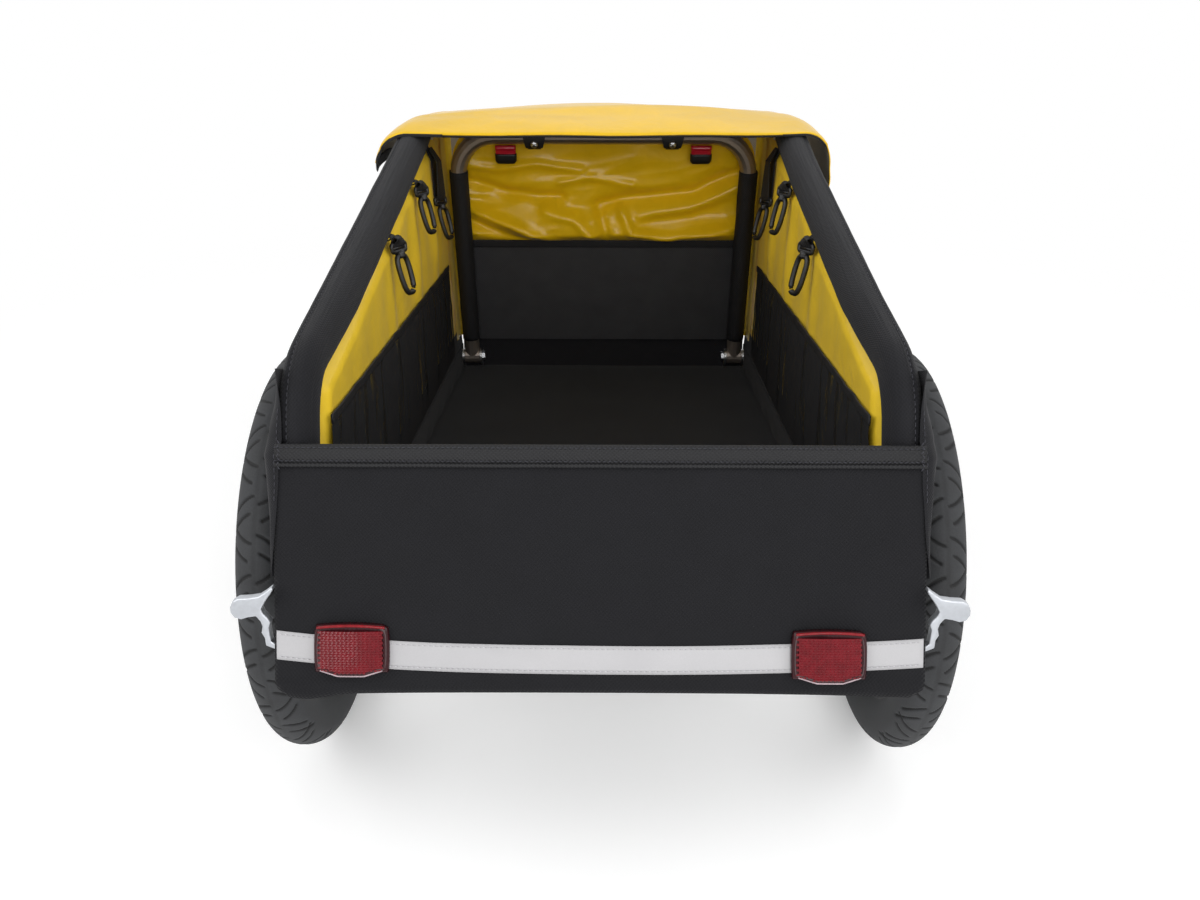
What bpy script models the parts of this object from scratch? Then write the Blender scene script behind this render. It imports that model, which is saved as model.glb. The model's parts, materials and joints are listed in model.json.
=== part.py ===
"""Bicycle cargo trailer: a folding tube frame with a fabric body, two quick-release 16 inch wheels and a tow bar.

Every shape is written in the trailer's own frame: +X right, +Y forward, +Z up, origin on the axle line, floor level.
The stance empty then tips the trailer nose down, so that it stands on both tyres and the hitch.
"""

import math

import bmesh
import bpy
from mathutils import Matrix, Vector

# Fits
GAP = 0.0003
PIN_CLEARANCE = 0.0003
RUNNING_GAP = 0.0005

# Wheels, 16 inch
TYRE_HEIGHT = 0.037
TYRE_WIDTH = 0.041
TRACK = 0.572
RIM_OUTER_RADIUS = 0.163
RIM_DEPTH = 0.011
RIM_WIDTH = 0.024
RIM_WALL = 0.0022
HUB_BARREL_RADIUS = 0.013
HUB_FLANGE_RADIUS = 0.024
HUB_FLANGE_THICKNESS = 0.003
HUB_FLANGE_SPACING = 0.034
SPOKES = 16
SPOKE_RADIUS = 0.0011
AXLE_RADIUS = 0.006
AXLE_HEAD_RADIUS = 0.0105
AXLE_HEAD_LENGTH = 0.006
AXLE_COLLAR_RADIUS = 0.0095
BUTTON_RADIUS = 0.004
BUTTON_STAND_OUT = 0.0045
BUTTON_TRAVEL = 0.003
BUTTON_LENGTH = 0.015

# Floor frame
SIDE_PLANE = 0.232
TUBE_RADIUS = 0.0125
CROSS_TUBE_RADIUS = 0.011
FLOOR_TUBE_HEIGHT = 0.026
FLOOR_REAR = -0.262
FLOOR_FRONT = 0.585
REAR_CROSS_Y = -0.243
FRONT_CROSS_Y = 0.572
TRAY_THICKNESS = 0.0037
TRAY_HALF_WIDTH = 0.2115
TRAY_WALL = 0.003
TRAY_WALL_TOP = 0.060
TRAY_REAR = -0.255
TRAY_FRONT = 0.555
RECEIVER_LENGTH = 0.036
RECEIVER_BELOW_AXLE = 0.016

# Rear panel, a slope that leans forward towards its top
REAR_BOTTOM_Y = -0.277
REAR_BOTTOM_Z = 0.011
REAR_LEAN = math.atan(0.343)
PANEL_HALF_WIDTH = 0.247
PANEL_HEIGHT = 0.171
PANEL_THICKNESS = 0.003
PANEL_CORNER_RADIUS = 0.016
BINDING_HEIGHT = 0.0155
BINDING_THICKNESS = 0.006
STRIP_WIDTH = 0.022
STRIP_BOTTOM = 0.0103
STRIP_THICKNESS = 0.001
REFLECTOR_WIDTH = 0.057
REFLECTOR_HEIGHT = 0.041
REFLECTOR_DEPTH = 0.009
REFLECTOR_BOTTOM = 0.0068
REFLECTOR_LEFT_X = -0.187
REFLECTOR_RIGHT_X = 0.173

# Side frames, each a bent tube that hinges on the floor frame
HINGE_HEIGHT = 0.080
POST_SETBACK = 0.0245
RAIL_SLOPE = 0.2563
RAIL_HEIGHT_AT_AXLE = 0.2758
REAR_BEND_RADIUS = 0.060
FRONT_BEND_RADIUS = 0.052
KNUCKLE_OVERHANG = 0.008
EAR_THICKNESS = 0.004
EAR_RADIUS = 0.0118
BOLT_RADIUS = 0.004
BOLT_HEAD_RADIUS = 0.0068
BOLT_HEAD_THICKNESS = 0.0042
SLEEVE_RADIUS = 0.018
SLEEVE_BOTTOM = 0.103
SLEEVE_TO_BEND = 0.001
SIDE_PANEL_INNER = 0.2164
SIDE_PANEL_OUTER = 0.2192
SIDE_PANEL_BOTTOM = 0.0825
POCKET_THICKNESS = 0.0062
POCKET_TOP = 0.190
POCKET_FRONT_Y = 0.465

# Snap hooks that hang from webbing tabs under each rail
HOOK_PLACES = {"rear": (0.105, 0.0), "middle": (0.255, 0.0), "front": (0.379, 0.045)}
HOOK_THICKNESS = 0.0050
HOOK_PLANE = 0.2103
HOOK_EYE_WIDTH = 0.026
HOOK_EYE_HEIGHT = 0.009
HOOK_SLOT_WIDTH = 0.0205
HOOK_SLOT_HEIGHT = 0.0034
HOOK_RING_WIDTH = 0.021
HOOK_RING_HEIGHT = 0.042
HOOK_WIRE = 0.0042
HOOK_GATE_GAP = 0.0012
TAB_WIDTH = 0.020
TAB_THICKNESS = 0.0016
TAB_DROP = 0.006

# Front hoop
HOOP_RADIUS = 0.011
HOOP_HALF_WIDTH = 0.1965
HOOP_HINGE_Y = 0.545
HOOP_HINGE_Z = 0.044
HOOP_TOP_Y = 0.474
HOOP_TOP_Z = 0.366
HOOP_BEND_RADIUS = 0.052
HOOP_TO_LEG_GAP = 0.007
HOOP_EAR_THICKNESS = 0.003
CLAMP_INSET = 0.105
CLAMP_WIDTH = 0.017
CLAMP_WALL = 0.0042
SCREW_HEAD_RADIUS = 0.0042
TAB_LEVER_INSET = 0.0655
TAB_LEVER_WIDTH = 0.028
TAB_LEVER_LENGTH = 0.024
TAB_LEVER_THICKNESS = 0.003
TAB_BARREL_RADIUS = 0.0042
TAB_PIN_DROP = 0.0006
FRONT_PANEL_THICKNESS = 0.0025
FRONT_PANEL_FOOT = 0.020

# Cover, turned forward over the hoop
COVER_HALF_WIDTH = 0.272
COVER_CROWN = 0.0095
COVER_THICKNESS = 0.0045
COVER_REAR_Y = 0.330
COVER_FRONT_Y = 0.535
COVER_FRONT_DROP = 0.012
COVER_FLAP_DROP = 0.0589
COVER_APRON_BOTTOM = 0.150

# Wheel guards, short pieces of extrusion behind each tyre
GUARD_REAR_Y = -0.262
GUARD_DEPTH = 0.022
GUARD_BULB_X = 0.2785
GUARD_BULB_Z = 0.066
GUARD_BULB_RADIUS = 0.0085
GUARD_TIP_X = 0.2535
GUARD_TIP_Z = 0.0835
GUARD_LEG_X = 0.2585
GUARD_LEG_TOP = 0.054

# Tow bar, level with the underside of the floor frame
TOW_X = -0.170
TOW_PIVOT_Y = 0.500
TOW_RADIUS = 0.0125
TOW_STUB = 0.013
TOW_STRAIGHT_END_Y = 0.700
TOW_HITCH_X = -0.075
TOW_CROSS_END_Y = 1.000
TOW_END_Y = 1.060
TOW_BEND_RADIUS = 0.090
TOW_PLATE_THICKNESS = 0.003
TOW_BRACKET_WALL_OFFSET = 0.0195
TOW_BRACKET_FRONT_Y = 0.592
TOW_PIN_RADIUS = 0.005
STRAP_WIDTH = 0.025
FLEX_RADIUS = 0.0145
FLEX_LENGTH = 0.042
COUPLER_RADIUS = 0.0135
COUPLER_BODY_LENGTH = 0.018
COUPLER_EAR_LENGTH = 0.034
COUPLER_EAR_THICKNESS = 0.005
COUPLER_SLOT = 0.014
HITCH_PIN_RADIUS = 0.004
HITCH_RING_RADIUS = 0.011
HITCH_RING_WIRE = 0.0013

# Facets
ROUND = 14
ROUND_WHEEL = 48
ARC_STEP = math.radians(13)

SIDES = {"left": -1, "right": 1}


# Derived places

CROSS_TUBE_HEIGHT = FLOOR_TUBE_HEIGHT - TUBE_RADIUS + CROSS_TUBE_RADIUS - 0.012
TRAY_BOTTOM = CROSS_TUBE_HEIGHT + CROSS_TUBE_RADIUS + GAP
TRAY_TOP = TRAY_BOTTOM + TRAY_THICKNESS
WHEEL_X = TRACK / 2
CLAMP_X = HOOP_HALF_WIDTH - CLAMP_INSET
TAB_LEVER_X = HOOP_HALF_WIDTH - TAB_LEVER_INSET
FRONT_PANEL_HALF_WIDTH = HOOP_HALF_WIDTH + HOOP_RADIUS
TYRE_RADIUS = RIM_OUTER_RADIUS + TYRE_HEIGHT
RIM_INNER_RADIUS = RIM_OUTER_RADIUS - RIM_DEPTH
HUB_HALF_LENGTH = HUB_FLANGE_SPACING / 2 + HUB_FLANGE_THICKNESS + 0.006
RECEIVER_OUTER = SIDE_PLANE + TUBE_RADIUS + 0.003
AXLE_HEAD_X = WHEEL_X + HUB_HALF_LENGTH + RUNNING_GAP
HOOP_PLANE = Vector((0, HOOP_TOP_Y - HOOP_HINGE_Y, HOOP_TOP_Z - HOOP_HINGE_Z)).normalized()
HOOP_FORWARD = Vector((0, HOOP_PLANE.z, -HOOP_PLANE.y))
TOW_HEIGHT = CROSS_TUBE_HEIGHT - CROSS_TUBE_RADIUS - GAP - TOW_PLATE_THICKNESS - RUNNING_GAP - TOW_RADIUS


def rear_point(x, up, out):
    """A point on the rear panel: x across, up along its slope from the bottom edge, out towards the rear."""
    sine, cosine = math.sin(REAR_LEAN), math.cos(REAR_LEAN)
    return Vector((x, REAR_BOTTOM_Y + up * sine - out * cosine, REAR_BOTTOM_Z + up * cosine + out * sine))


def post_y(z):
    """Where the rear post's centre line stands at a height: POST_SETBACK in front of the panel's face."""
    foot = rear_point(0, 0, -POST_SETBACK)
    return foot.y + (z - foot.z) * math.tan(REAR_LEAN)


def rail_z(y):
    return RAIL_HEIGHT_AT_AXLE + RAIL_SLOPE * y


def leg_y(z):
    """Where the front leg's centre line stands at a height: just behind the hoop and parallel to it."""
    behind = TUBE_RADIUS + HOOP_RADIUS + HOOP_TO_LEG_GAP
    foot = Vector((0, HOOP_HINGE_Y, HOOP_HINGE_Z)) - HOOP_FORWARD * behind
    return foot.y + (z - foot.z) * HOOP_PLANE.y / HOOP_PLANE.z


def rear_corner():
    slope = math.tan(REAR_LEAN)
    y = (post_y(0) + slope * RAIL_HEIGHT_AT_AXLE) / (1 - slope * RAIL_SLOPE)
    return Vector((0, y, rail_z(y)))


def front_corner():
    slope = HOOP_PLANE.y / HOOP_PLANE.z
    y = (leg_y(0) + slope * RAIL_HEIGHT_AT_AXLE) / (1 - slope * RAIL_SLOPE)
    return Vector((0, y, rail_z(y)))


def front_bend_start():
    corner = front_corner()
    back = (rear_corner() - corner).normalized()
    ahead = (Vector((0, leg_y(HINGE_HEIGHT), HINGE_HEIGHT)) - corner).normalized()
    return corner + back * (FRONT_BEND_RADIUS / math.tan(back.angle(ahead) / 2))


# Materials

def material(name, hex_colour, roughness, metallic=0.0):
    channels = [int(hex_colour[i:i + 2], 16) / 255 for i in (0, 2, 4)]
    linear = [c / 12.92 if c <= 0.04045 else ((c + 0.055) / 1.055) ** 2.4 for c in channels]
    made = bpy.data.materials.new(name)
    made.use_nodes = True
    shader = made.node_tree.nodes["Principled BSDF"]
    shader.inputs["Base Color"].default_value = (*linear, 1)
    shader.inputs["Roughness"].default_value = roughness
    shader.inputs["Metallic"].default_value = metallic
    made.diffuse_color = (*linear, 1)
    return made


def make_materials():
    return {
        "aluminium": material("aluminium", "cfcfce", 0.35, 1.0),
        "hoop_tube": material("hoop_tube", "8a8078", 0.4, 0.9),
        "steel": material("steel", "b9bbbe", 0.3, 1.0),
        "black_fabric": material("black_fabric", "26262a", 0.9),
        "black_mesh": material("black_mesh", "1d1d1f", 0.85),
        "yellow_fabric": material("yellow_fabric", "e0b92a", 0.55),
        "reflective": material("reflective", "e3e2e4", 0.4),
        "reflector": material("reflector", "7a1a22", 0.2),
        "red_plastic": material("red_plastic", "b0182c", 0.35),
        "black_plastic": material("black_plastic", "141416", 0.45),
        "tyre": material("tyre", "3a3936", 0.85),
        "elastomer": material("elastomer", "202022", 0.7),
    }


# Shapes

def add(name, bm, made_of, parent):
    """Makes an object of a bmesh written in the trailer's frame, carried by the empty of its body."""
    bmesh.ops.remove_doubles(bm, verts=bm.verts, dist=1e-6)
    bmesh.ops.recalc_face_normals(bm, faces=bm.faces)
    mesh = bpy.data.meshes.new(name)
    bm.to_mesh(mesh)
    bm.free()
    obj = bpy.data.objects.new(name, mesh)
    bpy.context.collection.objects.link(obj)
    obj.parent = parent
    obj.location = -parent.location
    if made_of is not None:
        mesh.materials.append(made_of)
        mesh.shade_smooth()
        mesh.set_sharp_from_angle(angle=math.radians(35))
    return obj


def boolean(obj, bm, operation):
    """Joins a shape to an object or cuts it away. The shape stays in the file as a hidden wire helper."""
    helper = add(f"{obj.name}_{operation.lower()}_{len(obj.modifiers)}", bm, None, obj.parent)
    helper.hide_render = True
    helper.display_type = "WIRE"
    modifier = obj.modifiers.new(helper.name, "BOOLEAN")
    modifier.operation = operation
    modifier.object = helper


def join(obj, *shapes):
    for shape in shapes:
        boolean(obj, shape, "UNION")


def cut(obj, *shapes):
    for shape in shapes:
        boolean(obj, shape, "DIFFERENCE")


def loft(rings, closed=False):
    """A skin over rings of points, capped at its ends or closed on itself."""
    bm = bmesh.new()
    rows = [[bm.verts.new(point) for point in ring] for ring in rings]
    pairs = list(zip(rows, rows[1:] + rows[:1])) if closed else list(zip(rows, rows[1:]))
    for low, high in pairs:
        for i in range(len(low)):
            j = (i + 1) % len(low)
            bm.faces.new((low[i], low[j], high[j], high[i]))
    if not closed:
        bm.faces.new(rows[0])
        bm.faces.new(rows[-1])
    return bm


def circle(centre, across, along, radius, sides=ROUND):
    angles = [2 * math.pi * (i + 0.5) / sides for i in range(sides)]
    return [centre + across * (radius * math.cos(a)) + along * (radius * math.sin(a)) for a in angles]


def rod(start, end, radius, sides=ROUND):
    start, end = Vector(start), Vector(end)
    direction = (end - start).normalized()
    across = direction.orthogonal().normalized()
    along = direction.cross(across)
    return loft([circle(point, across, along, radius, sides) for point in (start, end)])


def box(low, high):
    bm = bmesh.new()
    low, high = Vector(low), Vector(high)
    size = high - low
    place = Matrix.Translation((low + high) / 2) @ Matrix.Diagonal((*size, 1))
    bmesh.ops.create_cube(bm, size=1, matrix=place)
    return bm


def plate(outline, to_point, low, high):
    """A flat outline of (a, b) pairs extruded between two depths. to_point(a, b, depth) gives the place."""
    return loft([[to_point(a, b, depth) for a, b in outline] for depth in (low, high)])


def turned(profile, centre_x, segments=ROUND_WHEEL, side=1):
    """A closed profile of (along the axle, radius) pairs turned about the axle line."""
    rings = []
    for i in range(segments):
        angle = 2 * math.pi * i / segments
        rings.append([Vector((side * (centre_x + a), r * math.cos(angle), r * math.sin(angle))) for a, r in profile])
    return loft(rings, closed=True)


def shaft(steps, side, sides=ROUND):
    """A stepped shaft on the axle line from (x, radius) pairs."""
    y_axis, z_axis = Vector((0, 1, 0)), Vector((0, 0, 1))
    return loft([circle(Vector((side * x, 0, 0)), y_axis, z_axis, radius, sides) for x, radius in steps])


def arc(centre, radius, start, end, step=ARC_STEP):
    """Points (a, b) on an arc, its angles in degrees."""
    start, end = math.radians(start), math.radians(end)
    count = max(1, round(abs(end - start) / step))
    angles = [start + (end - start) * i / count for i in range(count + 1)]
    return [(centre[0] + radius * math.cos(t), centre[1] + radius * math.sin(t)) for t in angles]


def rounded_box(width, bottom, height, radius, centre=0.0):
    """The outline of a rectangle with round corners, anticlockwise from its lower right corner."""
    right, left = centre + width / 2 - radius, centre - width / 2 + radius
    low, high = bottom + radius, bottom + height - radius
    return (arc((right, low), radius, -90, 0) + arc((right, high), radius, 0, 90)
            + arc((left, high), radius, 90, 180) + arc((left, low), radius, 180, 270))


def bent_path(corners, radii):
    """The centre line of a bent tube: straight between corners, with an arc of the given radius at each."""
    points = [corners[0]]
    for before, corner, after, radius in zip(corners, corners[1:], corners[2:], radii):
        back, ahead = (before - corner).normalized(), (after - corner).normalized()
        half = back.angle(ahead) / 2
        bisector = (back + ahead).normalized()
        centre = corner + bisector * (radius / math.sin(half))
        start = corner + back * (radius / math.tan(half)) - centre
        end = corner + ahead * (radius / math.tan(half)) - centre
        turn = start.angle(end)
        axis = start.cross(end).normalized()
        count = max(2, round(turn / ARC_STEP))
        points += [centre + Matrix.Rotation(turn * i / count, 3, axis) @ start for i in range(count + 1)]
    return points + [corners[-1]]


def sweep_rings(path, normal, radius, sides=ROUND):
    """Circles along a flat path, each square to the path. normal is the path plane's normal."""
    rings = []
    for i, point in enumerate(path):
        before = (point - path[i - 1]).normalized() if i else (path[1] - point).normalized()
        after = (path[i + 1] - point).normalized() if i + 1 < len(path) else before
        tangent = (before + after).normalized()
        rings.append(circle(point, normal, tangent.cross(normal), radius, sides))
    return rings


def tube(path, normal, radius, sides=ROUND):
    return loft(sweep_rings(path, normal, radius, sides))


def pipe(path, normal, outer, inner, sides=ROUND):
    """A tube with a bore along its whole path."""
    outside = sweep_rings(path, normal, outer, sides)
    inside = sweep_rings(path, normal, inner, sides)
    bm = bmesh.new()
    shells = [[[bm.verts.new(p) for p in ring] for ring in rings] for rings in (outside, inside)]
    for rows in shells:
        for low, high in zip(rows, rows[1:]):
            for i in range(sides):
                j = (i + 1) % sides
                bm.faces.new((low[i], low[j], high[j], high[i]))
    for end in (0, -1):
        for i in range(sides):
            j = (i + 1) % sides
            bm.faces.new((shells[0][end][i], shells[0][end][j], shells[1][end][j], shells[1][end][i]))
    return bm


def across_x(y, z, x):
    return Vector((x, y, z))


def along_y(x, z, y):
    return Vector((x, y, z))


def bolt(name, start, end, parent, made_of, radius=BOLT_RADIUS):
    """A bolt with its head before start and its nut after end, a hair off the faces that they clamp."""
    start, end = Vector(start), Vector(end)
    direction = (end - start).normalized()
    across = direction.orthogonal().normalized()
    along = direction.cross(across)
    head = BOLT_HEAD_THICKNESS
    steps = ((-head - GAP, BOLT_HEAD_RADIUS), (-GAP, BOLT_HEAD_RADIUS), (-GAP, radius))
    far = ((GAP, radius), (GAP, BOLT_HEAD_RADIUS), (head + GAP, BOLT_HEAD_RADIUS))
    rings = [circle(start + direction * s, across, along, r, 6) for s, r in steps]
    rings += [circle(end + direction * s, across, along, r, 6) for s, r in far]
    obj = add(name, loft(rings), made_of, parent)
    return obj


# Bodies

def body(name, parent, place=(0, 0, 0)):
    """An empty that carries one rigid body, standing on the axis of its joint."""
    empty = bpy.data.objects.new(name, None)
    empty.empty_display_size = 0.03
    bpy.context.collection.objects.link(empty)
    empty.parent = parent
    empty.location = Vector(place) - (parent.location if parent and parent.name != "stance" else Vector())
    return empty


# Wheels

def make_wheel(word, side, frame, bodies, mats):
    wheel = body(f"{word}_wheel_body", bodies["stance"], (side * WHEEL_X, 0, 0))
    half = TYRE_WIDTH / 2
    seat = RIM_OUTER_RADIUS + GAP
    flank = RIM_WIDTH / 2 - RIM_WALL - GAP
    channel = RIM_OUTER_RADIUS - 0.0045
    crown = (TYRE_RADIUS + seat) / 2
    swell = [(half * math.cos(math.radians(t)), crown + (TYRE_RADIUS - crown) * math.sin(math.radians(t)))
             for t in range(-50, 231, 20)]
    profile = swell + [(-flank, seat), (-flank, channel + GAP), (flank, channel + GAP), (flank, seat)]
    add(f"tyre_{word}", turned(profile, WHEEL_X, side=side), mats["tyre"], wheel)

    outer = RIM_WIDTH / 2
    inner = outer - RIM_WALL
    waist = 0.0065
    rim = [(-outer, RIM_OUTER_RADIUS), (-outer, channel - 0.002), (-waist, RIM_INNER_RADIUS),
           (waist, RIM_INNER_RADIUS), (outer, channel - 0.002), (outer, RIM_OUTER_RADIUS),
           (inner, RIM_OUTER_RADIUS), (inner, channel), (-inner, channel), (-inner, RIM_OUTER_RADIUS)]
    add(f"rim_{word}", turned(rim, WHEEL_X, side=side), mats["aluminium"], wheel)

    bore = AXLE_RADIUS + PIN_CLEARANCE
    flange = HUB_FLANGE_SPACING / 2
    lip = flange + HUB_FLANGE_THICKNESS
    hub_profile = [(-HUB_HALF_LENGTH, bore), (-HUB_HALF_LENGTH, 0.010), (-lip, 0.0115), (-lip, HUB_FLANGE_RADIUS),
                   (-flange, HUB_FLANGE_RADIUS), (-flange, HUB_BARREL_RADIUS), (flange, HUB_BARREL_RADIUS),
                   (flange, HUB_FLANGE_RADIUS), (lip, HUB_FLANGE_RADIUS), (lip, 0.0115), (HUB_HALF_LENGTH, 0.010),
                   (HUB_HALF_LENGTH, bore)]
    hub = add(f"hub_{word}", turned(hub_profile, WHEEL_X, 24, side), mats["aluminium"], wheel)
    join(hub, make_spokes(side))

    head = AXLE_HEAD_X + AXLE_HEAD_LENGTH
    collar_in = RECEIVER_OUTER + RUNNING_GAP
    collar_out = WHEEL_X - HUB_HALF_LENGTH - RUNNING_GAP
    steps = [(SIDE_PLANE - TUBE_RADIUS, AXLE_RADIUS), (collar_in, AXLE_RADIUS), (collar_in, AXLE_COLLAR_RADIUS),
             (collar_out, AXLE_COLLAR_RADIUS), (collar_out, AXLE_RADIUS), (AXLE_HEAD_X, AXLE_RADIUS),
             (AXLE_HEAD_X, AXLE_HEAD_RADIUS), (head, AXLE_HEAD_RADIUS)]
    axle = add(f"wheel_axle_{word}", shaft(steps, side), mats["steel"], frame)
    button_in = head + BUTTON_STAND_OUT - BUTTON_LENGTH
    bore_end = button_in - BUTTON_TRAVEL - RUNNING_GAP
    cut(axle, shaft([(bore_end, BUTTON_RADIUS + PIN_CLEARANCE), (head + 0.002, BUTTON_RADIUS + PIN_CLEARANCE)], side))

    button_body = body(f"{word}_axle_button_body", bodies["stance"], (side * head, 0, 0))
    out = head + BUTTON_STAND_OUT
    steps = [(button_in, BUTTON_RADIUS), (out - 0.0012, BUTTON_RADIUS), (out, BUTTON_RADIUS - 0.0012)]
    add(f"axle_button_{word}", shaft(steps, side, 12), mats["steel"], button_body)


def make_spokes(side):
    """Straight spokes from both flanges, each leaning along the rim as a crossed spoke does."""
    bm = bmesh.new()
    start_radius = HUB_FLANGE_RADIUS - 0.0025
    end_radius = RIM_INNER_RADIUS - GAP
    for i in range(SPOKES):
        flange = (HUB_FLANGE_SPACING + HUB_FLANGE_THICKNESS) / 2 * (1 if i % 2 else -1)
        angle = 2 * math.pi * i / SPOKES
        lean = math.radians(38) * (1 if i % 4 < 2 else -1)
        foot = Vector((side * (WHEEL_X + flange), start_radius * math.cos(angle + lean),
                       start_radius * math.sin(angle + lean)))
        tip = Vector((side * (WHEEL_X + flange * 0.12), end_radius * math.cos(angle), end_radius * math.sin(angle)))
        direction = (tip - foot).normalized()
        across = direction.orthogonal().normalized()
        along = direction.cross(across)
        rows = [[bm.verts.new(p) for p in circle(c, across, along, SPOKE_RADIUS, 5)] for c in (foot, tip)]
        for a in range(5):
            b = (a + 1) % 5
            bm.faces.new((rows[0][a], rows[0][b], rows[1][b], rows[1][a]))
        bm.faces.new(rows[0])
        bm.faces.new(rows[1])
    return bm


# Floor frame

def make_floor_frame(frame, mats):
    for word, side in SIDES.items():
        x = side * SIDE_PLANE
        rail = add(f"floor_side_tube_{word}", rod((x, FLOOR_REAR, FLOOR_TUBE_HEIGHT), (x, FLOOR_FRONT, FLOOR_TUBE_HEIGHT),
                                                  TUBE_RADIUS), mats["aluminium"], frame)
        for place in hinge_places().values():
            join(rail, hinge_ear(x, place))
            cut(rail, rod((x, place["ear"][0] - 0.01, HINGE_HEIGHT), (x, place["ear"][1] + 0.01, HINGE_HEIGHT),
                          BOLT_RADIUS + PIN_CLEARANCE, 12))
        make_receiver(word, side, frame, mats)
    butt = SIDE_PLANE - TUBE_RADIUS - GAP
    saddle = SIDE_PLANE + 0.006
    for name, y, reach in (("axle_cross_tube", 0, butt), ("rear_cross_tube", REAR_CROSS_Y, saddle),
                           ("front_cross_tube", FRONT_CROSS_Y, saddle)):
        shape = rod((-reach, y, CROSS_TUBE_HEIGHT), (reach, y, CROSS_TUBE_HEIGHT), CROSS_TUBE_RADIUS)
        cross = add(name, shape, mats["aluminium"], frame)
        for x in (-SIDE_PLANE, SIDE_PLANE):
            if reach > butt:
                cut(cross, rod((x, y - 0.03, FLOOR_TUBE_HEIGHT), (x, y + 0.03, FLOOR_TUBE_HEIGHT), TUBE_RADIUS + GAP))
    for side in SIDES.values():
        for offset in (-1, 1):
            join(cross, hoop_ear(side * HOOP_HALF_WIDTH, offset))
        x = side * HOOP_HALF_WIDTH
        reach_x = HOOP_RADIUS + 0.01
        cut(cross, rod((x - reach_x, HOOP_HINGE_Y, HOOP_HINGE_Z), (x + reach_x, HOOP_HINGE_Y, HOOP_HINGE_Z),
                       BOLT_RADIUS + PIN_CLEARANCE, 12))


def hinge_places():
    """Where each side hinge's knuckle and ear lie along Y. The ear stands in front of the knuckle."""
    places = {}
    for name, centre in (("rear", post_y(HINGE_HEIGHT)), ("front", leg_y(HINGE_HEIGHT))):
        knuckle = (centre - TUBE_RADIUS - 0.003, centre + TUBE_RADIUS + KNUCKLE_OVERHANG)
        ear = (knuckle[1] + RUNNING_GAP, knuckle[1] + RUNNING_GAP + EAR_THICKNESS)
        places[name] = {"centre": centre, "knuckle": knuckle, "ear": ear}
    return places


def hinge_ear(x, place):
    """A flat ear welded on the floor tube, round at its top about the hinge pin."""
    foot = FLOOR_TUBE_HEIGHT + TUBE_RADIUS - 0.004
    outline = [(-EAR_RADIUS, foot)] + [(EAR_RADIUS, foot)] + arc((0, HINGE_HEIGHT), EAR_RADIUS, 0, 180)
    return plate(outline, lambda a, b, depth: Vector((x + a, depth, b)), *place["ear"])


def hoop_ear(x, offset):
    """One of the two plates on the front cross tube that hold a foot of the hoop."""
    inner = HOOP_RADIUS + RUNNING_GAP
    low = x + offset * inner
    high = x + offset * (inner + HOOP_EAR_THICKNESS)
    radius = 0.0105
    foot = Vector((FRONT_CROSS_Y, CROSS_TUBE_HEIGHT + 0.004))
    top = Vector((HOOP_HINGE_Y, HOOP_HINGE_Z))
    along = (top - foot).normalized()
    angle = math.degrees(math.atan2(along.y, along.x))
    outline = arc(top, radius, angle - 90, angle + 90) + arc(foot, 0.009, angle + 90, angle + 270)
    return plate(outline, across_x, min(low, high), max(low, high))


def make_receiver(word, side, frame, mats):
    """The block under the floor tube that the wheel's axle pushes into."""
    top = FLOOR_TUBE_HEIGHT - TUBE_RADIUS - GAP
    inner = SIDE_PLANE - TUBE_RADIUS
    half = RECEIVER_LENGTH / 2
    outline = ([(half, top)] + [(-half, top)] + arc((0, 0), RECEIVER_BELOW_AXLE, 200, 340))
    low, high = sorted((side * inner, side * RECEIVER_OUTER))
    receiver = add(f"axle_receiver_{word}", plate(outline, across_x, low, high),
                   mats["aluminium"], frame)
    cut(receiver, shaft([(inner - 0.01, AXLE_RADIUS + PIN_CLEARANCE), (RECEIVER_OUTER + 0.01, AXLE_RADIUS
                                                                      + PIN_CLEARANCE)], side))


def make_floor_tray(frame, mats):
    """The fabric-covered floor, a shallow tray with turned-up sides."""
    inner = TRAY_HALF_WIDTH - TRAY_WALL
    section = [(-TRAY_HALF_WIDTH, TRAY_BOTTOM), (TRAY_HALF_WIDTH, TRAY_BOTTOM), (TRAY_HALF_WIDTH, TRAY_WALL_TOP),
               (inner, TRAY_WALL_TOP), (inner, TRAY_TOP), (-inner, TRAY_TOP), (-inner, TRAY_WALL_TOP),
               (-TRAY_HALF_WIDTH, TRAY_WALL_TOP)]
    shape = plate(section, along_y, TRAY_REAR, TRAY_FRONT)
    tray = add("floor_tray", shape, mats["black_fabric"], frame)
    for side in SIDES.values():
        low, high = sorted((side * (HOOP_HALF_WIDTH - 0.022), side * (TRAY_HALF_WIDTH + 0.01)))
        cut(tray, box((low, HOOP_HINGE_Y - 0.0135, TRAY_BOTTOM - 0.01), (high, TRAY_FRONT + 0.01, 0.08)))


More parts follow.
